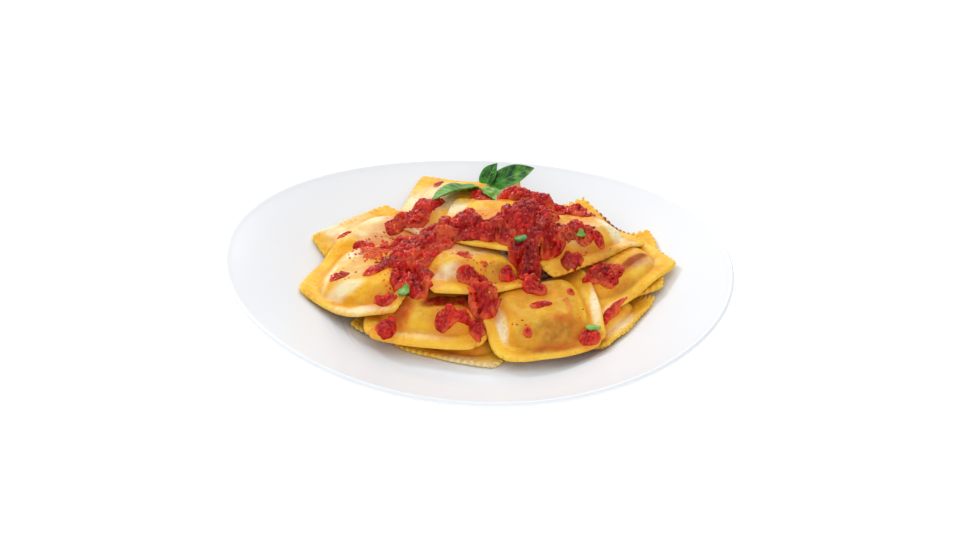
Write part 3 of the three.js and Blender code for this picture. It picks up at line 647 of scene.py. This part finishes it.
def lay_underside(row, slope, support):
    """Lays a sheet on what is below: it rests on its middle and sags at its border."""
    u, v = sheet_grid(SHEET_CELLS + 1, SHEET_CELLS + 1)
    x, y = sheet_plan(row, slope, u, v)
    z = support.at(row["x"] + x, row["y"] + y) + CLEARANCE
    reach = np.maximum(np.abs(u), np.abs(v))
    touching = reach < 1 - FREE_BORDER / row["size"]
    tilt = slope[0] * x + slope[1] * y
    plane = (z - tilt)[touching].max() + tilt
    gap = plane - z
    soft = 2 * SAG_REACH / row["size"]
    out = smoothstep(0, 1, (reach - 1 + soft) / soft)
    share = CENTRE_SAG + (BORDER_SAG - CENTRE_SAG) * out
    sag = np.where(gap > 0, FOLD_LIMIT * (1 - np.exp(-gap * share / FOLD_LIMIT)), gap)
    grid = np.maximum(z, plane - sag + corner_lift(row, u, v))
    return relax(grid, z, 5)


def filling_dome(row, u, v):
    inner = 1 - 2 * FILLING_EDGE / row["size"]
    power = FILLING_SQUARENESS
    out = ((np.abs(u) / inner) ** power + (np.abs(v) / inner) ** power) ** (1 / power)
    rise = np.clip((1 - out) / DOME_SHOULDER, 0, 1)
    seam_and_crease_shade = np.exp(-((out - 1.0) / SEAM_WIDTH) ** 2)
    return 1 - (1 - rise) ** 2, seam_and_crease_shade


def fluted_plan(row, slope, u, v, seed):
    """The sheet in plan with its scalloped edge, and how much each scallop rises."""
    half = row["size"] / 2
    rim_u = smoothstep(1 - FLUTE_REACH / half, 1, np.abs(u))
    rim_v = smoothstep(1 - FLUTE_REACH / half, 1, np.abs(v))
    wave_u = np.cos(math.pi * FLUTES * (v + 1) + seed)
    wave_v = np.cos(math.pi * FLUTES * (u + 1) + seed)
    depth = row["flute"] / 2
    uneven = 1 + 0.7 * value_noise(half * u, half * v, 9, seed + 41)
    slow = 0.5 * value_noise(half * u, half * v, 11, seed + 43)
    x, y = sheet_plan(row, slope, u, v, (depth * uneven * wave_u + slow) * rim_u,
                      (depth * uneven * wave_v + slow) * rim_v)
    crimp = CRIMP * row["flute"] * uneven * (wave_u * rim_u + wave_v * rim_v)
    return x + row["x"], y + row["y"], crimp


def wrinkles(x, y, dome, seed):
    """Folds of the dough, deeper over the filling."""
    wide = 0.9 * fractal(x, y, 14, seed) * (0.2 + dome)
    middle = 0.45 * fractal(x, y, 6, seed + 3, 2) * (0.25 + dome)
    return wide + middle + 0.14 * fractal(x, y, 2.6, seed + 5, 2)


def raviolo_piece(row, seed, support, shown):
    slope = resting_slope(row, support)
    steep = math.sqrt(1 + slope[0] ** 2 + slope[1] ** 2)
    half = row["size"] / 2
    u, v = sheet_grid(FINE + 1, FINE + 1)
    x, y, crimp = fluted_plan(row, slope, u, v, seed)

    under = lay_underside(row, slope, support)
    low = bilinear(under, (u + 1) / 2 * SHEET_CELLS, (v + 1) / 2 * SHEET_CELLS)
    low = relax(low, np.full(u.shape, -1e3), 14)
    floor = shown.exact(x, y) + LAYER_GAP
    low = relax(np.maximum(low, floor), floor, 3)

    from_edge = np.minimum(1 - np.abs(u), 1 - np.abs(v)) * half
    dome, seam_and_crease_shade = filling_dome(row, u, v)
    wrinkle = wrinkles(half * u, half * v, dome, seed) - SEAM_DEPTH * seam_and_crease_shade
    body = BORDER_THICKNESS + row["filling"] * dome
    top = low + (body + wrinkle * np.clip(from_edge / 3, 0, 1)) * steep
    trim = EDGE_TRIM * (1 - rounded_edge(from_edge, EDGE_ROUNDING))
    top = top - trim + crimp
    low = low + trim + crimp * 0.6

    fields = stain_fields(row, x, y, dome, 1 - np.clip(from_edge / 6, 0, 1))
    # The seam mask also darkens the dough in the material, as painted crease shade.
    fields["seam_and_crease_shade"] = seam_and_crease_shade
    sheet_piece(f"raviolo_{row['name']}", "pasta", at_height(x, y, top), at_height(x, y, low),
                fields)
    shown.drop_points(x, y, top)
    for shift in ((1, 0), (0, 1), (1, 1)):
        shown.drop_points(*(between(grid, shift) for grid in (x, y, top)))


def stain_fields(row, x, y, dome, edge):
    ragged = fractal(x, y, 7, 77, 4)
    oil_and_shade = np.zeros(x.shape)
    for _, cx, cy, length, width, turn, *_ in SAUCE_HEAPS:
        near = spot(x, y, cx, cy, length + HEAP_STAIN_REACH, width + HEAP_STAIN_REACH, turn)
        oil_and_shade = np.maximum(oil_and_shade, HEAP_STAIN * smoothstep(1.15, 0.75, near + 0.2 * ragged))
    fill = row["fill"] * smoothstep(0.55, 1.0, dome + 0.15 * ragged)
    fields = {"oil_and_shade": oil_and_shade, "fill": fill, "edge": edge, "pale_tint_and_highlight": 0.0, "sauce_film_and_shade": 0.0}
    for field, (places, outer, inner, raggedness) in STAINS.items():
        for *oval, strength in places.get(row["name"], ()):
            share = smoothstep(outer, inner, spot(x, y, *oval) + raggedness * ragged)
            fields[field] = np.maximum(fields[field], strength * share)
    return fields


# ------------ sauce
def oval_depth(x, y, oval):
    """How far inside an oval a point is, about in millimetres."""
    return (1 - spot(x, y, *oval)) * min(oval[2:4]) / 2


def patch(ovals, height, seed, **looks):
    """A patch of sauce. One that is big, or joined over an edge, banks up at steps."""
    made = dict(ovals=ovals, height=height, seed=seed, bare=(), slim=USUAL_SLIM, joined=False,
                grain=1.0, dark=0.0, light=0.0)
    made.update(looks)
    made["big"] = made["joined"] or min(ovals[0][2], ovals[0][3]) >= BIG_HEAP
    return made


def patch_depth(sauce, x, y):
    """How far inside the patch's ragged outline a point is."""
    depth = np.full(x.shape, -99.0)
    for oval in sauce["ovals"]:
        depth = np.maximum(depth, oval_depth(x, y, oval) - sauce["slim"])
    for oval in sauce["bare"]:
        depth = np.minimum(depth, -oval_depth(x, y, oval))
    ragged = (1.5 * value_noise(x, y, 6.5, sauce["seed"])
              + 0.7 * value_noise(x, y, 3.0, sauce["seed"] + 4))
    return depth + ragged * sauce["grain"] - 0.2


def reachable(inside, core, ground, limit):
    """Cells that join the core of a patch without a step steeper than the limit."""
    seen = inside & core
    for _ in range(sum(inside.shape)):
        grown = seen.copy()
        for axis, step in ((0, -1), (0, 1), (1, -1), (1, 1)):
            rise = np.abs(ground - np.roll(ground, step, axis))
            grown |= np.roll(seen, step, axis) & inside & (rise < limit)
        if (grown == seen).all():
            break
        seen = grown
    return seen


def depth_to_cut(inside, depth):
    """The depth, also counted from where a step in the ground cuts the patch off."""
    within = inside.copy()
    to_cut = np.zeros(inside.shape)
    for _ in range(6):
        to_cut = to_cut + SAUCE_CELL * within
        within = np.all(shifted(within, False), axis=0)
    return np.where(inside, np.minimum(depth, np.where(within, 99, to_cut)), 0)


def patch_plan(sauce, shown):
    """The patch's points in plan, which of them it covers, their depth and their ground."""
    ovals = np.array(sauce["ovals"], float)
    reach = ovals[:, 2:4].max() / 2 + 3
    low = ovals[:, :2].min(axis=0) - reach
    high = ovals[:, :2].max(axis=0) + reach
    x, y = np.meshgrid(np.arange(low[0], high[0], SAUCE_CELL),
                       np.arange(low[1], high[1], SAUCE_CELL), indexing="ij")
    depth = patch_depth(sauce, x, y)
    step = 0.1
    slope_x = (patch_depth(sauce, x + step, y) - depth) / step
    slope_y = (patch_depth(sauce, x, y + step) - depth) / step
    limit = ANY_STEP if sauce["joined"] else HEAP_STEP if sauce["big"] else SPOON_STEP
    inside = reachable(depth > 0, depth > PATCH_CORE * depth.max(), shown.exact(x, y), limit)
    border = np.any(shifted(inside, False), axis=0) & ~inside

    # The points of the border move onto the outline.
    steep = np.maximum(slope_x ** 2 + slope_y ** 2, 0.3)
    snap = border & (depth <= 0)
    x = np.where(snap, x + np.clip(-depth * slope_x / steep, -SAUCE_CELL, SAUCE_CELL), x)
    y = np.where(snap, y + np.clip(-depth * slope_y / steep, -SAUCE_CELL, SAUCE_CELL), y)
    ground = shown.exact(x, y)
    beside = np.max(shifted(np.where(inside, ground, -1e3), -1e3), axis=0)
    ground = np.where(border, beside + np.clip(ground - beside, -0.5, 0.5), ground)
    return x, y, inside, depth_to_cut(inside, depth), ground


def patch_top(sauce, x, y, inside, depth, ground, rounded, shown):
    """The patch's smooth surface: its edge, its swell and what it fills below."""
    height = sauce["height"]
    bank = 1.0 if sauce["big"] else SPOON_FILL
    fill = bank * smoothstep(0.1, 2.0, depth) * np.maximum(shown.banked(x, y) - ground, 0)
    swell = SWELL * height * (1 - np.exp(-depth / SWELL_REACH))
    edge = min(HEAP_EDGE, height) * rounded
    top = np.where(inside, relax(ground + fill + edge + swell, ground, 3), ground)
    return top + 0.45 * min(height, 2.0) * fractal(x, y, 5, sauce["seed"] + 9, 2) * rounded


def patch_faces(inside):
    """A patch's faces, which grid points they use, and which of those have an underside."""
    corners = [np.s_[:-1, :-1], np.s_[1:, :-1], np.s_[1:, 1:], np.s_[:-1, 1:]]
    cells = np.any([inside[corner] for corner in corners], axis=0)
    used = np.zeros_like(inside)
    for corner in corners:
        used[corner] |= cells
    hidden = used & inside
    upper = np.full(inside.shape, -1)
    upper[used] = np.arange(used.sum())
    lower = upper.copy()
    lower[hidden] = used.sum() + np.arange(hidden.sum())
    backward = (corners[0], *corners[:0:-1])
    faces = np.stack([upper[corner][cells] for corner in corners], 1).tolist()
    faces += np.stack([lower[corner][cells] for corner in backward], 1).tolist()
    return faces, used, hidden


def patch_mesh(sauce, shown):
    """A closed ragged patch of crushed tomato over what lies below."""
    x, y, inside, depth, ground = patch_plan(sauce, shown)
    rounded = rounded_edge(depth, 2.0)
    top = patch_top(sauce, x, y, inside, depth, ground, rounded, shown)
    slope_x, slope_y = np.gradient(top, SAUCE_CELL)
    normal = at_height(-slope_x, -slope_y, np.ones_like(top))
    normal /= np.linalg.norm(normal, axis=-1, keepdims=True)
    points = at_height(x, y, top)

    large, own = lumps(points, LUMP, 7)
    small, own_small = lumps(points + 31.7, FINE_LUMP, 11)
    rise = LUMP_RISE * bead(large, 0.85) * (0.3 + 0.9 * own)
    rise = rise + FINE_RISE * bead(small, 0.8) * (0.3 + own_small)
    amount = (LUMPINESS * sauce["grain"] * rounded * (rise - LUMP_LEVEL)
              * min(1.0, 0.55 + 0.3 * sauce["height"]))
    points = points + amount[..., None] * normal
    points[..., 2] = np.where(inside, np.maximum(points[..., 2], ground + 0.05), ground - 0.12)
    base = at_height(x, y, ground - 0.25)

    pulp = np.clip(0.5 * own + 0.3 * own_small + 0.35 * fractal(x, y, 8, 21, 2), 0, 1)
    # Painted shade: deep red in the crevices between the lumps.
    crevice_shade = rounded * np.maximum(smoothstep(0.45, 0.95, large),
                                0.7 * smoothstep(0.45, 0.85, small))
    thin = (1 - smoothstep(0.2, 1.8, depth)) * smoothstep(-0.3, 0.3, fractal(x, y, 5, 91))
    thin = np.maximum(thin, 0.35 * smoothstep(0.75, 0.95, own_small))
    thin = np.maximum(thin, sauce["light"] * smoothstep(-0.25, 0.45, fractal(x, y, 6, 37, 3)))
    # Darker where the sauce is thick, plus painted shade on the heaps marked dark that lie in
    # shadow.
    dark = np.clip(sauce["dark"] * smoothstep(0.5, 4, depth) + 0.5 * fractal(x, y, 9, 63), 0, 1)

    faces, used, hidden = patch_faces(inside)
    fields = {"pulp": pulp, "crevice_shade": crevice_shade, "thin": thin, "dark": dark}
    fields = {key: np.concatenate([value[used], value[hidden]])
              for key, value in fields.items()}
    shown.drop_points(*points[used].T)
    return np.concatenate([points[used], base[hidden]]), faces, fields


def spoonful_piece(row, seed, shown):
    name, *oval, height = row[:7]
    looks = dict(*row[7:])
    ovals = (oval, *looks.pop("also", ()))
    build_piece(f"sauce_{name}", "sauce", *patch_mesh(patch(ovals, height, seed, **looks), shown))


def smear_mesh(row, seed, shown):
    *oval, height, dark = row
    return patch_mesh(patch((oval,), height, seed, dark=dark, slim=0.0, grain=SMEAR_GRAIN), shown)


def grain_mesh(x, y, size, turn, level, shade):
    rows, columns = GRAIN_GRID
    lift = np.linspace(-0.5, math.pi / 2 - 0.25, rows)[:, None]
    around = 2 * math.pi * np.arange(columns) / columns
    wave = 1 + 0.25 * np.sin(2 * around + turn) + 0.12 * np.sin(3 * around + 2 * turn)
    px = x + size * np.cos(lift) * np.cos(around) * wave
    py = y + size * np.cos(lift) * np.sin(around) * wave
    pz = level + size * 0.8 * np.sin(lift) + 0 * around
    points = np.concatenate([at_height(px, py, pz).reshape(-1, 3),
                             [[x, y, level + size * 0.8]]])
    faces = grid_faces(rows, columns, flip=True, closed=True)
    faces += fan_faces((rows - 1) * columns, columns, rows * columns)
    faces.append(list(range(columns))[::-1])
    flat = np.zeros(len(points))
    fields = {"pulp": flat + shade, "crevice_shade": flat, "thin": flat + 1.2 * shade, "dark": flat}
    return points, faces, fields


def grain_parts(shown):
    """Single bits of tomato strewn round the spoonfuls."""
    draw = np.random.default_rng(41)
    parts = []
    for cx, cy, length, width, turn, count in GRAINS:
        for _ in range(count):
            angle = draw.uniform(0, 2 * math.pi)
            out = draw.uniform(0, 1) ** 0.6
            x, y = turned(math.cos(angle) * out * length / 2,
                          math.sin(angle) * out * width / 2, turn)
            x += cx
            y += cy
            size = draw.uniform(*GRAIN_SIZE) * (1.1 - 0.3 * out)
            around = shown.exact(x + np.array([0, 1, -1, 0, 0]), y + np.array([0, 0, 0, 1, -1]))
            shade = draw.uniform(0.3, 1.0)
            if np.ptp(around) < GRAIN_STEP:
                parts.append(grain_mesh(x, y, size, angle, around[0], shade))
    return parts


def joined_piece(name, parts):
    """One piece of sauce out of several meshes."""
    points = np.concatenate([part_points for part_points, _, _ in parts])
    fields = {key: np.concatenate([part_fields[key] for _, _, part_fields in parts])
              for key in parts[0][2]}
    faces = []
    count = 0
    for part_points, part_faces, _ in parts:
        faces += [[index + count for index in face] for face in part_faces]
        count += len(part_points)
    build_piece(name, "sauce", points, faces, fields)


# ------------ basil
def blade_width(share):
    return np.sin(math.pi * np.clip(0.06 + 0.94 * share, 0, 1) ** 0.85) ** 0.8


def leaf_piece(row, index, shown):
    name, base, tip, full_width, tilt, arch, cup, pale_tint_and_highlight = row
    base = np.array(base, float)
    tip = np.array(tip, float)
    axis = (tip - base) / np.linalg.norm(tip - base)
    side = np.cross((0, 0, 1), axis)
    side = side / np.linalg.norm(side)
    tilt = math.radians(tilt)
    side = side * math.cos(tilt) + np.cross(axis, side) * math.sin(tilt)
    normal = np.cross(axis, side)

    rows, columns = LEAF_GRID
    share, across = np.meshgrid(np.linspace(0, 1, rows), np.linspace(-1, 1, columns),
                                indexing="ij")
    width = np.maximum(full_width / 2 * blade_width(share), 0.5)
    ripple = 0.5 * np.sin(9 * share + across)
    lift = (arch * 4 * share * (1 - share)
            + (cup + ripple) * across ** 2 * blade_width(share))
    vein = (share * VEINS - np.abs(across) * 1.6 + index * 0.3) % 1.0
    groove = np.exp(-((vein - 0.5) / 0.13) ** 2) * smoothstep(0.05, 0.2, np.abs(across))
    midrib = np.exp(-(across / 0.07) ** 2)
    puff = 0.45 * np.cos(2 * math.pi * (vein - 0.5)) * np.sin(math.pi * np.abs(across))
    lift = lift - puff * blade_width(share) - 0.35 * midrib
    low = (base + share[..., None] * (tip - base) + (across * width)[..., None] * side
           + lift[..., None] * normal)
    low[..., 2] = np.maximum(low[..., 2], shown.at(low[..., 0], low[..., 1]) + LEAF_GAP)
    thickness = 0.35 + 0.25 * midrib
    high = low + thickness[..., None] * normal * 1.2
    fields = {"vein": np.maximum(midrib, 0.7 * groove), "edge": np.abs(across) ** 3,
              "pale_tint_and_highlight": pale_tint_and_highlight}
    sheet_piece(f"basil_leaf_{name}", "basil", high, low, fields)


def bit_piece(row, shown):
    """A small piece of a leaf that lies on what is below."""
    name, cx, cy, turn, length, full_width, pale_tint_and_highlight = row
    along, across = sheet_grid(*BIT_GRID)
    width = np.maximum(full_width / 2 * np.sqrt(np.clip(1 - along ** 2, 0, 1)), 0.3)
    x, y = turned(along * length / 2, across * width, turn)
    x = x + cx
    y = y + cy
    z = np.maximum(shown.at(x, y) + LEAF_GAP, shown.at(cx, cy) + 1) + 0.5 * (1 - across ** 2)
    z = relax(z, np.full(z.shape, -1e3), 3)
    fields = {"vein": np.exp(-(across / 0.15) ** 2), "edge": across ** 2, "pale_tint_and_highlight": pale_tint_and_highlight}
    sheet_piece(f"basil_bit_{name}", "basil", at_height(x, y, z + BIT_THICKNESS),
                at_height(x, y, z), fields)


# ------------ plate
def plate_outline():
    """Half the plate's section, from the middle of its top to the middle of its underside."""
    upper = np.concatenate([np.linspace(0, 50, 12), np.linspace(52, 66, 15),
                            np.linspace(66.4, 82, 40), np.linspace(83, PLATE_RADIUS - 3, 24)])
    rings = sum(rise * np.exp(-((upper - radius) / RING_WIDTH) ** 2) for radius, rise in RINGS)
    outline = list(zip(upper, plate_profile(upper) + rings))
    lip = PLATE_RADIUS - LIP
    lip_middle = float(plate_profile(lip)) - RIM_WALL / 2
    for k in range(13):
        turn = math.pi * k / 12 - 0.35
        outline.append((lip + LIP * math.sin(turn), lip_middle + RIM_WALL / 2 * math.cos(turn)))
    for r in np.concatenate([np.linspace(PLATE_RADIUS - 5, 74, 24), np.linspace(73, 57, 14)]):
        wall = RIM_WALL + (WALL - RIM_WALL) * (1 - float(rim_share(r))) ** 2
        outline.append((r, float(plate_profile(r)) - wall))
    outline += [(FOOT_OUTER + step, height) for step, height in FOOT_OUTSIDE]
    outline += [(FOOT_INNER + step, height) for step, height in FOOT_INSIDE]
    outline += [(r, FLOOR_UNDERSIDE) for r in np.linspace(42, 0, 8)]
    return np.array(outline)


def plate_piece():
    outline = plate_outline()
    angle = 2 * math.pi * np.arange(PLATE_SEGMENTS) / PLATE_SEGMENTS
    radius = outline[1:-1, 0][:, None]
    z = outline[1:-1, 1][:, None] + rim_sway(radius, angle[None, :])
    rings = at_height(radius * np.cos(angle), radius * np.sin(angle), z).reshape(-1, 3)
    middles = [[0, 0, outline[0, 1]], [0, 0, outline[-1, 1]]]
    count = len(rings)
    faces = grid_faces(len(radius), PLATE_SEGMENTS, closed=True)
    faces += fan_faces(0, PLATE_SEGMENTS, count)
    faces += fan_faces(count - PLATE_SEGMENTS, PLATE_SEGMENTS, count + 1, flip=True)
    build_piece("plate", "glaze", np.concatenate([rings, middles]), faces, {})


# ------------ materials
def srgb(r, g, b):
    def linear(c):
        c = c / 255
        return c / 12.92 if c <= 0.04045 else ((c + 0.055) / 1.055) ** 2.4
    return (linear(r), linear(g), linear(b), 1.0)


class Nodes:
    """A small helper that adds and joins the shader nodes of a material or of the world."""

    def __init__(self, name, owner=None, shader="Principled BSDF"):
        self.owner = owner or bpy.data.materials.new(name)
        self.owner.use_nodes = True
        self.tree = self.owner.node_tree
        self.shader = self.tree.nodes[shader]
        self.coordinates = self.add("ShaderNodeTexCoord").outputs

    def set(self, socket, value):
        if isinstance(value, bpy.types.NodeSocket):
            self.tree.links.new(value, socket)
        else:
            socket.default_value = value

    def fill_in(self, node, inputs):
        for key, value in inputs.items():
            self.set(node.inputs[key.replace("_", " ")], value)
        return node

    def add(self, kind, **inputs):
        return self.fill_in(self.tree.nodes.new(kind), inputs)

    def field(self, name):
        made = self.add("ShaderNodeAttribute")
        made.attribute_name = name
        return made.outputs["Fac"]

    def noise(self, scale, detail=3.0):
        made = self.add("ShaderNodeTexNoise", Vector=self.coordinates["Object"], Scale=scale,
                        Detail=detail, Roughness=0.55)
        return made.outputs["Fac"]

    def ramp(self, value, low, high, least=0.0, most=1.0):
        made = self.add("ShaderNodeMapRange", Value=value, From_Min=low, From_Max=high,
                        To_Min=least, To_Max=most)
        made.interpolation_type = "SMOOTHSTEP"
        return made.outputs["Result"]

    def patches(self, scale, detail, low, high, least=0.0, most=1.0):
        """Soft patches of noise."""
        return self.ramp(self.noise(scale, detail), low, high, least, most)

    def patchy(self, name, scale, detail, low, high, least, most=1.0):
        """A field of the mesh, broken up by patches."""
        return self.math("MULTIPLY", self.field(name),
                         self.patches(scale, detail, low, high, least, most))

    def math(self, operation, a, b):
        made = self.add("ShaderNodeMath")
        made.operation = operation
        self.set(made.inputs[0], a)
        self.set(made.inputs[1], b)
        return made.outputs[0]

    def mix(self, share, *colours):
        """A blend of two colours, each a socket or its red, green and blue of up to 255."""
        made = self.add("ShaderNodeMix", Factor=share)
        made.data_type = "RGBA"
        for socket, colour in zip(made.inputs[6:8], colours):
            self.set(socket, srgb(*colour) if isinstance(colour, tuple) else colour)
        return made.outputs[2]

    def bump(self, height, strength, distance):
        made = self.add("ShaderNodeBump", Height=height, Strength=strength,
                        Distance=distance)
        return made.outputs["Normal"]

    def shade(self, **inputs):
        self.fill_in(self.shader, inputs)
        return self.owner


def pasta_material():
    n = Nodes("moist_egg_dough")
    dough = n.mix(n.patches(60, 4, 0.3, 0.7), (238, 164, 32), (250, 196, 56))
    dough = n.mix(n.patches(150, 3, 0.45, 0.7, 0.0, 0.5), dough, (255, 220, 100))
    dough = n.mix(n.ramp(n.field("edge"), 0.1, 0.9, 0.0, 0.35), dough, (255, 216, 92))
    # Painted shade: the dough is darker along the crease round the filling.
    dough = n.mix(n.patchy("seam_and_crease_shade", 120, 2, 0.3, 0.7, 0.2, 0.6), dough, (206, 124, 26))
    # Filling that shows through, brown; where the filling table lays it on right and front_left it
    # paints shade.
    filling_and_shade_brown = n.mix(n.patches(190, 4, 0.3, 0.7), (166, 98, 30), (212, 148, 52))
    dough = n.mix(n.field("fill"), dough, filling_and_shade_brown)
    # Painted highlight: pale cream where the dough catches light.
    dough = n.mix(n.patchy("pale_tint_and_highlight", 230, 4, 0.25, 0.6, 0.6), dough, (255, 243, 204))
    dough = n.mix(n.patches(480, 2, 0.6, 0.7, 0.0, 0.4), dough, (196, 126, 44))
    # Tomato oil, orange; in places it also paints shade.
    dough = n.mix(n.patchy("oil_and_shade", 300, 3, 0.35, 0.6, 0.6), dough, (214, 92, 30))
    # Sauce film in dark red; it also paints shade in holes and under edges.
    dough = n.mix(n.patchy("sauce_film_and_shade", 260, 3, 0.3, 0.6, 0.75), dough, (142, 20, 14))
    grain = n.math("ADD", n.noise(210, 4), n.math("MULTIPLY", n.noise(620, 3), 0.35))
    return n.shade(Base_Color=dough, Roughness=n.patches(110, 2, 0.3, 0.7, 0.3, 0.5),
                   Normal=n.bump(grain, 0.42, 0.0016), Subsurface_Weight=0.1,
                   Subsurface_Radius=(1.0, 0.55, 0.15), Subsurface_Scale=0.003,
                   Coat_Weight=0.04, Coat_Roughness=0.2, Specular_IOR_Level=0.1)


def sauce_material():
    n = Nodes("crushed_tomato")
    red = n.mix(n.ramp(n.field("pulp"), 0.2, 0.9), (178, 4, 14), (246, 46, 26))
    red = n.mix(n.patches(420, 3, 0.48, 0.62, 0.0, 0.6), red, (190, 8, 16))
    red = n.mix(n.ramp(n.field("thin"), 0.0, 1.0, 0.0, 0.75), red, (244, 112, 62))
    # Painted shade in the crevices between the lumps.
    red = n.mix(n.ramp(n.field("crevice_shade"), 0.0, 1.0, 0.0, 0.65), red, (120, 2, 10))
    # Darker red: its own deep red where sauce is thick, and painted shade on the heaps that lie in
    # shadow.
    shade = n.math("MAXIMUM", n.field("dark"), n.patches(75, 3, 0.5, 0.66, 0.0, 0.55))
    red = n.mix(n.ramp(shade, 0.0, 1.0, 0.0, 0.8), red, (100, 2, 10))
    red = n.mix(n.patches(520, 2, 0.56, 0.72, 0.0, 0.45), red, (246, 112, 62))
    return n.shade(Base_Color=red, Roughness=0.3, Normal=n.bump(n.noise(900), 0.4, 0.0008),
                   Subsurface_Weight=0.06, Subsurface_Radius=(1.0, 0.2, 0.08),
                   Subsurface_Scale=0.0015, Specular_IOR_Level=0.08, Coat_Weight=0.34,
                   Coat_Roughness=0.08)


def basil_material():
    n = Nodes("basil_leaf")
    green = n.mix(n.patches(150, 3, 0.35, 0.65), (8, 74, 24), (74, 156, 50))
    green = n.mix(n.patches(75, 2, 0.5, 0.68, 0.0, 0.6), green, (122, 186, 70))
    green = n.mix(n.ramp(n.field("vein"), 0.2, 0.9, 0.0, 0.4), green, (150, 202, 104))
    green = n.mix(n.ramp(n.field("edge"), 0.4, 1.0, 0.0, 0.35), green, (96, 160, 80))
    green = n.mix(n.patchy("pale_tint_and_highlight", 220, 3, 0.3, 0.6, 0.6), green, (152, 196, 84))
    return n.shade(Base_Color=green, Roughness=0.36, Normal=n.bump(n.noise(500), 0.25, 0.0006),
                   Subsurface_Weight=0.08, Subsurface_Radius=(0.3, 1.0, 0.2),
                   Subsurface_Scale=0.0015, Coat_Weight=0.1, Coat_Roughness=0.2,
                   Specular_IOR_Level=0.3)


def glaze_material():
    n = Nodes("white_glaze")
    tone = n.mix(n.noise(18, 2), (241, 245, 250), (245, 249, 253))
    return n.shade(Base_Color=tone, Roughness=0.4, Normal=n.bump(n.noise(35, 2), 0.04, 0.002),
                   Coat_Weight=0.08, Coat_Roughness=0.1, Specular_IOR_Level=0.35)


def table_material():
    n = Nodes("white_table")
    tone = n.mix(n.noise(4, 2), (252, 252, 252), (255, 255, 255))
    return n.shade(Base_Color=tone, Roughness=0.9, Specular_IOR_Level=0.0,
                   Emission_Color=(1, 1, 1, 1), Emission_Strength=0.3)


# ------------ the dish
MATERIALS = {
    "glaze": glaze_material(),
    "pasta": pasta_material(),
    "sauce": sauce_material(),
    "basil": basil_material(),
}
plate_piece()
laid = Support(1.0)
shown = Support(0.5)
for index, row in enumerate(RAVIOLI):
    raviolo_piece(named(row), 31 * (index + 1), laid, shown)
    laid.cover(*cad_triangles(f"raviolo_{row[0]}"))

for index, row in enumerate(SAUCE_HEAPS):
    spoonful_piece(row, 100 + index, shown)
joined_piece("sauce_smears", [smear_mesh(row, 200 + index, shown)
                              for index, row in enumerate(THIN_SAUCE)])
joined_piece("sauce_grains", grain_parts(shown))

for row in BASIL_BITS:
    bit_piece(row, shown)
for index, row in enumerate(BASIL_LEAVES):
    leaf_piece(row, index, shown)

# ------------ stage
bpy.ops.mesh.primitive_plane_add(size=TABLE_SIZE, location=(0, 0, 0))
floor = bpy.context.object
floor.name = "table_top"
floor.data.materials.append(table_material())

scene = bpy.context.scene
scene.world = scene.world or bpy.data.worlds.new("studio")
sky = Nodes("studio", scene.world, "Background")
height = sky.add("ShaderNodeSeparateXYZ", Vector=sky.coordinates["Generated"]).outputs["Z"]
sky.shade(Color=(1.0, 1.0, 1.0, 1.0), Strength=sky.ramp(height, *DOME_HEIGHTS, *DOME_STRENGTHS))

for name, location, size, power in LAMPS:
    light = bpy.data.lights.new(name, "AREA")
    light.shape = "DISK"
    light.size = size
    light.energy = power
    lamp = add_object(name, light)
    lamp.location = location
    lamp.rotation_euler = (LAMP_AIM - Vector(location)).to_track_quat("-Z", "Y").to_euler()

# ------------ camera
turns = (
    (math.pi / 2 - ELEVATION, "X"),
    (ROLL, "Z"),
    (math.atan(AIM_OFFSET[1] / FOCAL_PIXELS), "X"),
    (-math.atan(AIM_OFFSET[0] / FOCAL_PIXELS), "Y"),
)
back = Vector((0, -math.cos(ELEVATION), math.sin(ELEVATION)))
pose = Matrix.Translation(AIM + back * DISTANCE)
for angle, axis in turns:
    pose = pose @ Matrix.Rotation(angle, 4, axis)
camera_data = bpy.data.cameras.new("camera")
camera_data.sensor_width = SENSOR
camera_data.lens = FOCAL_PIXELS / IMAGE_WIDTH * SENSOR
camera = add_object("camera", camera_data)
camera.matrix_world = pose
scene.camera = camera

scene.view_settings.view_transform = "Standard"
scene.view_settings.look = "None"
scene.view_settings.exposure = 0.0
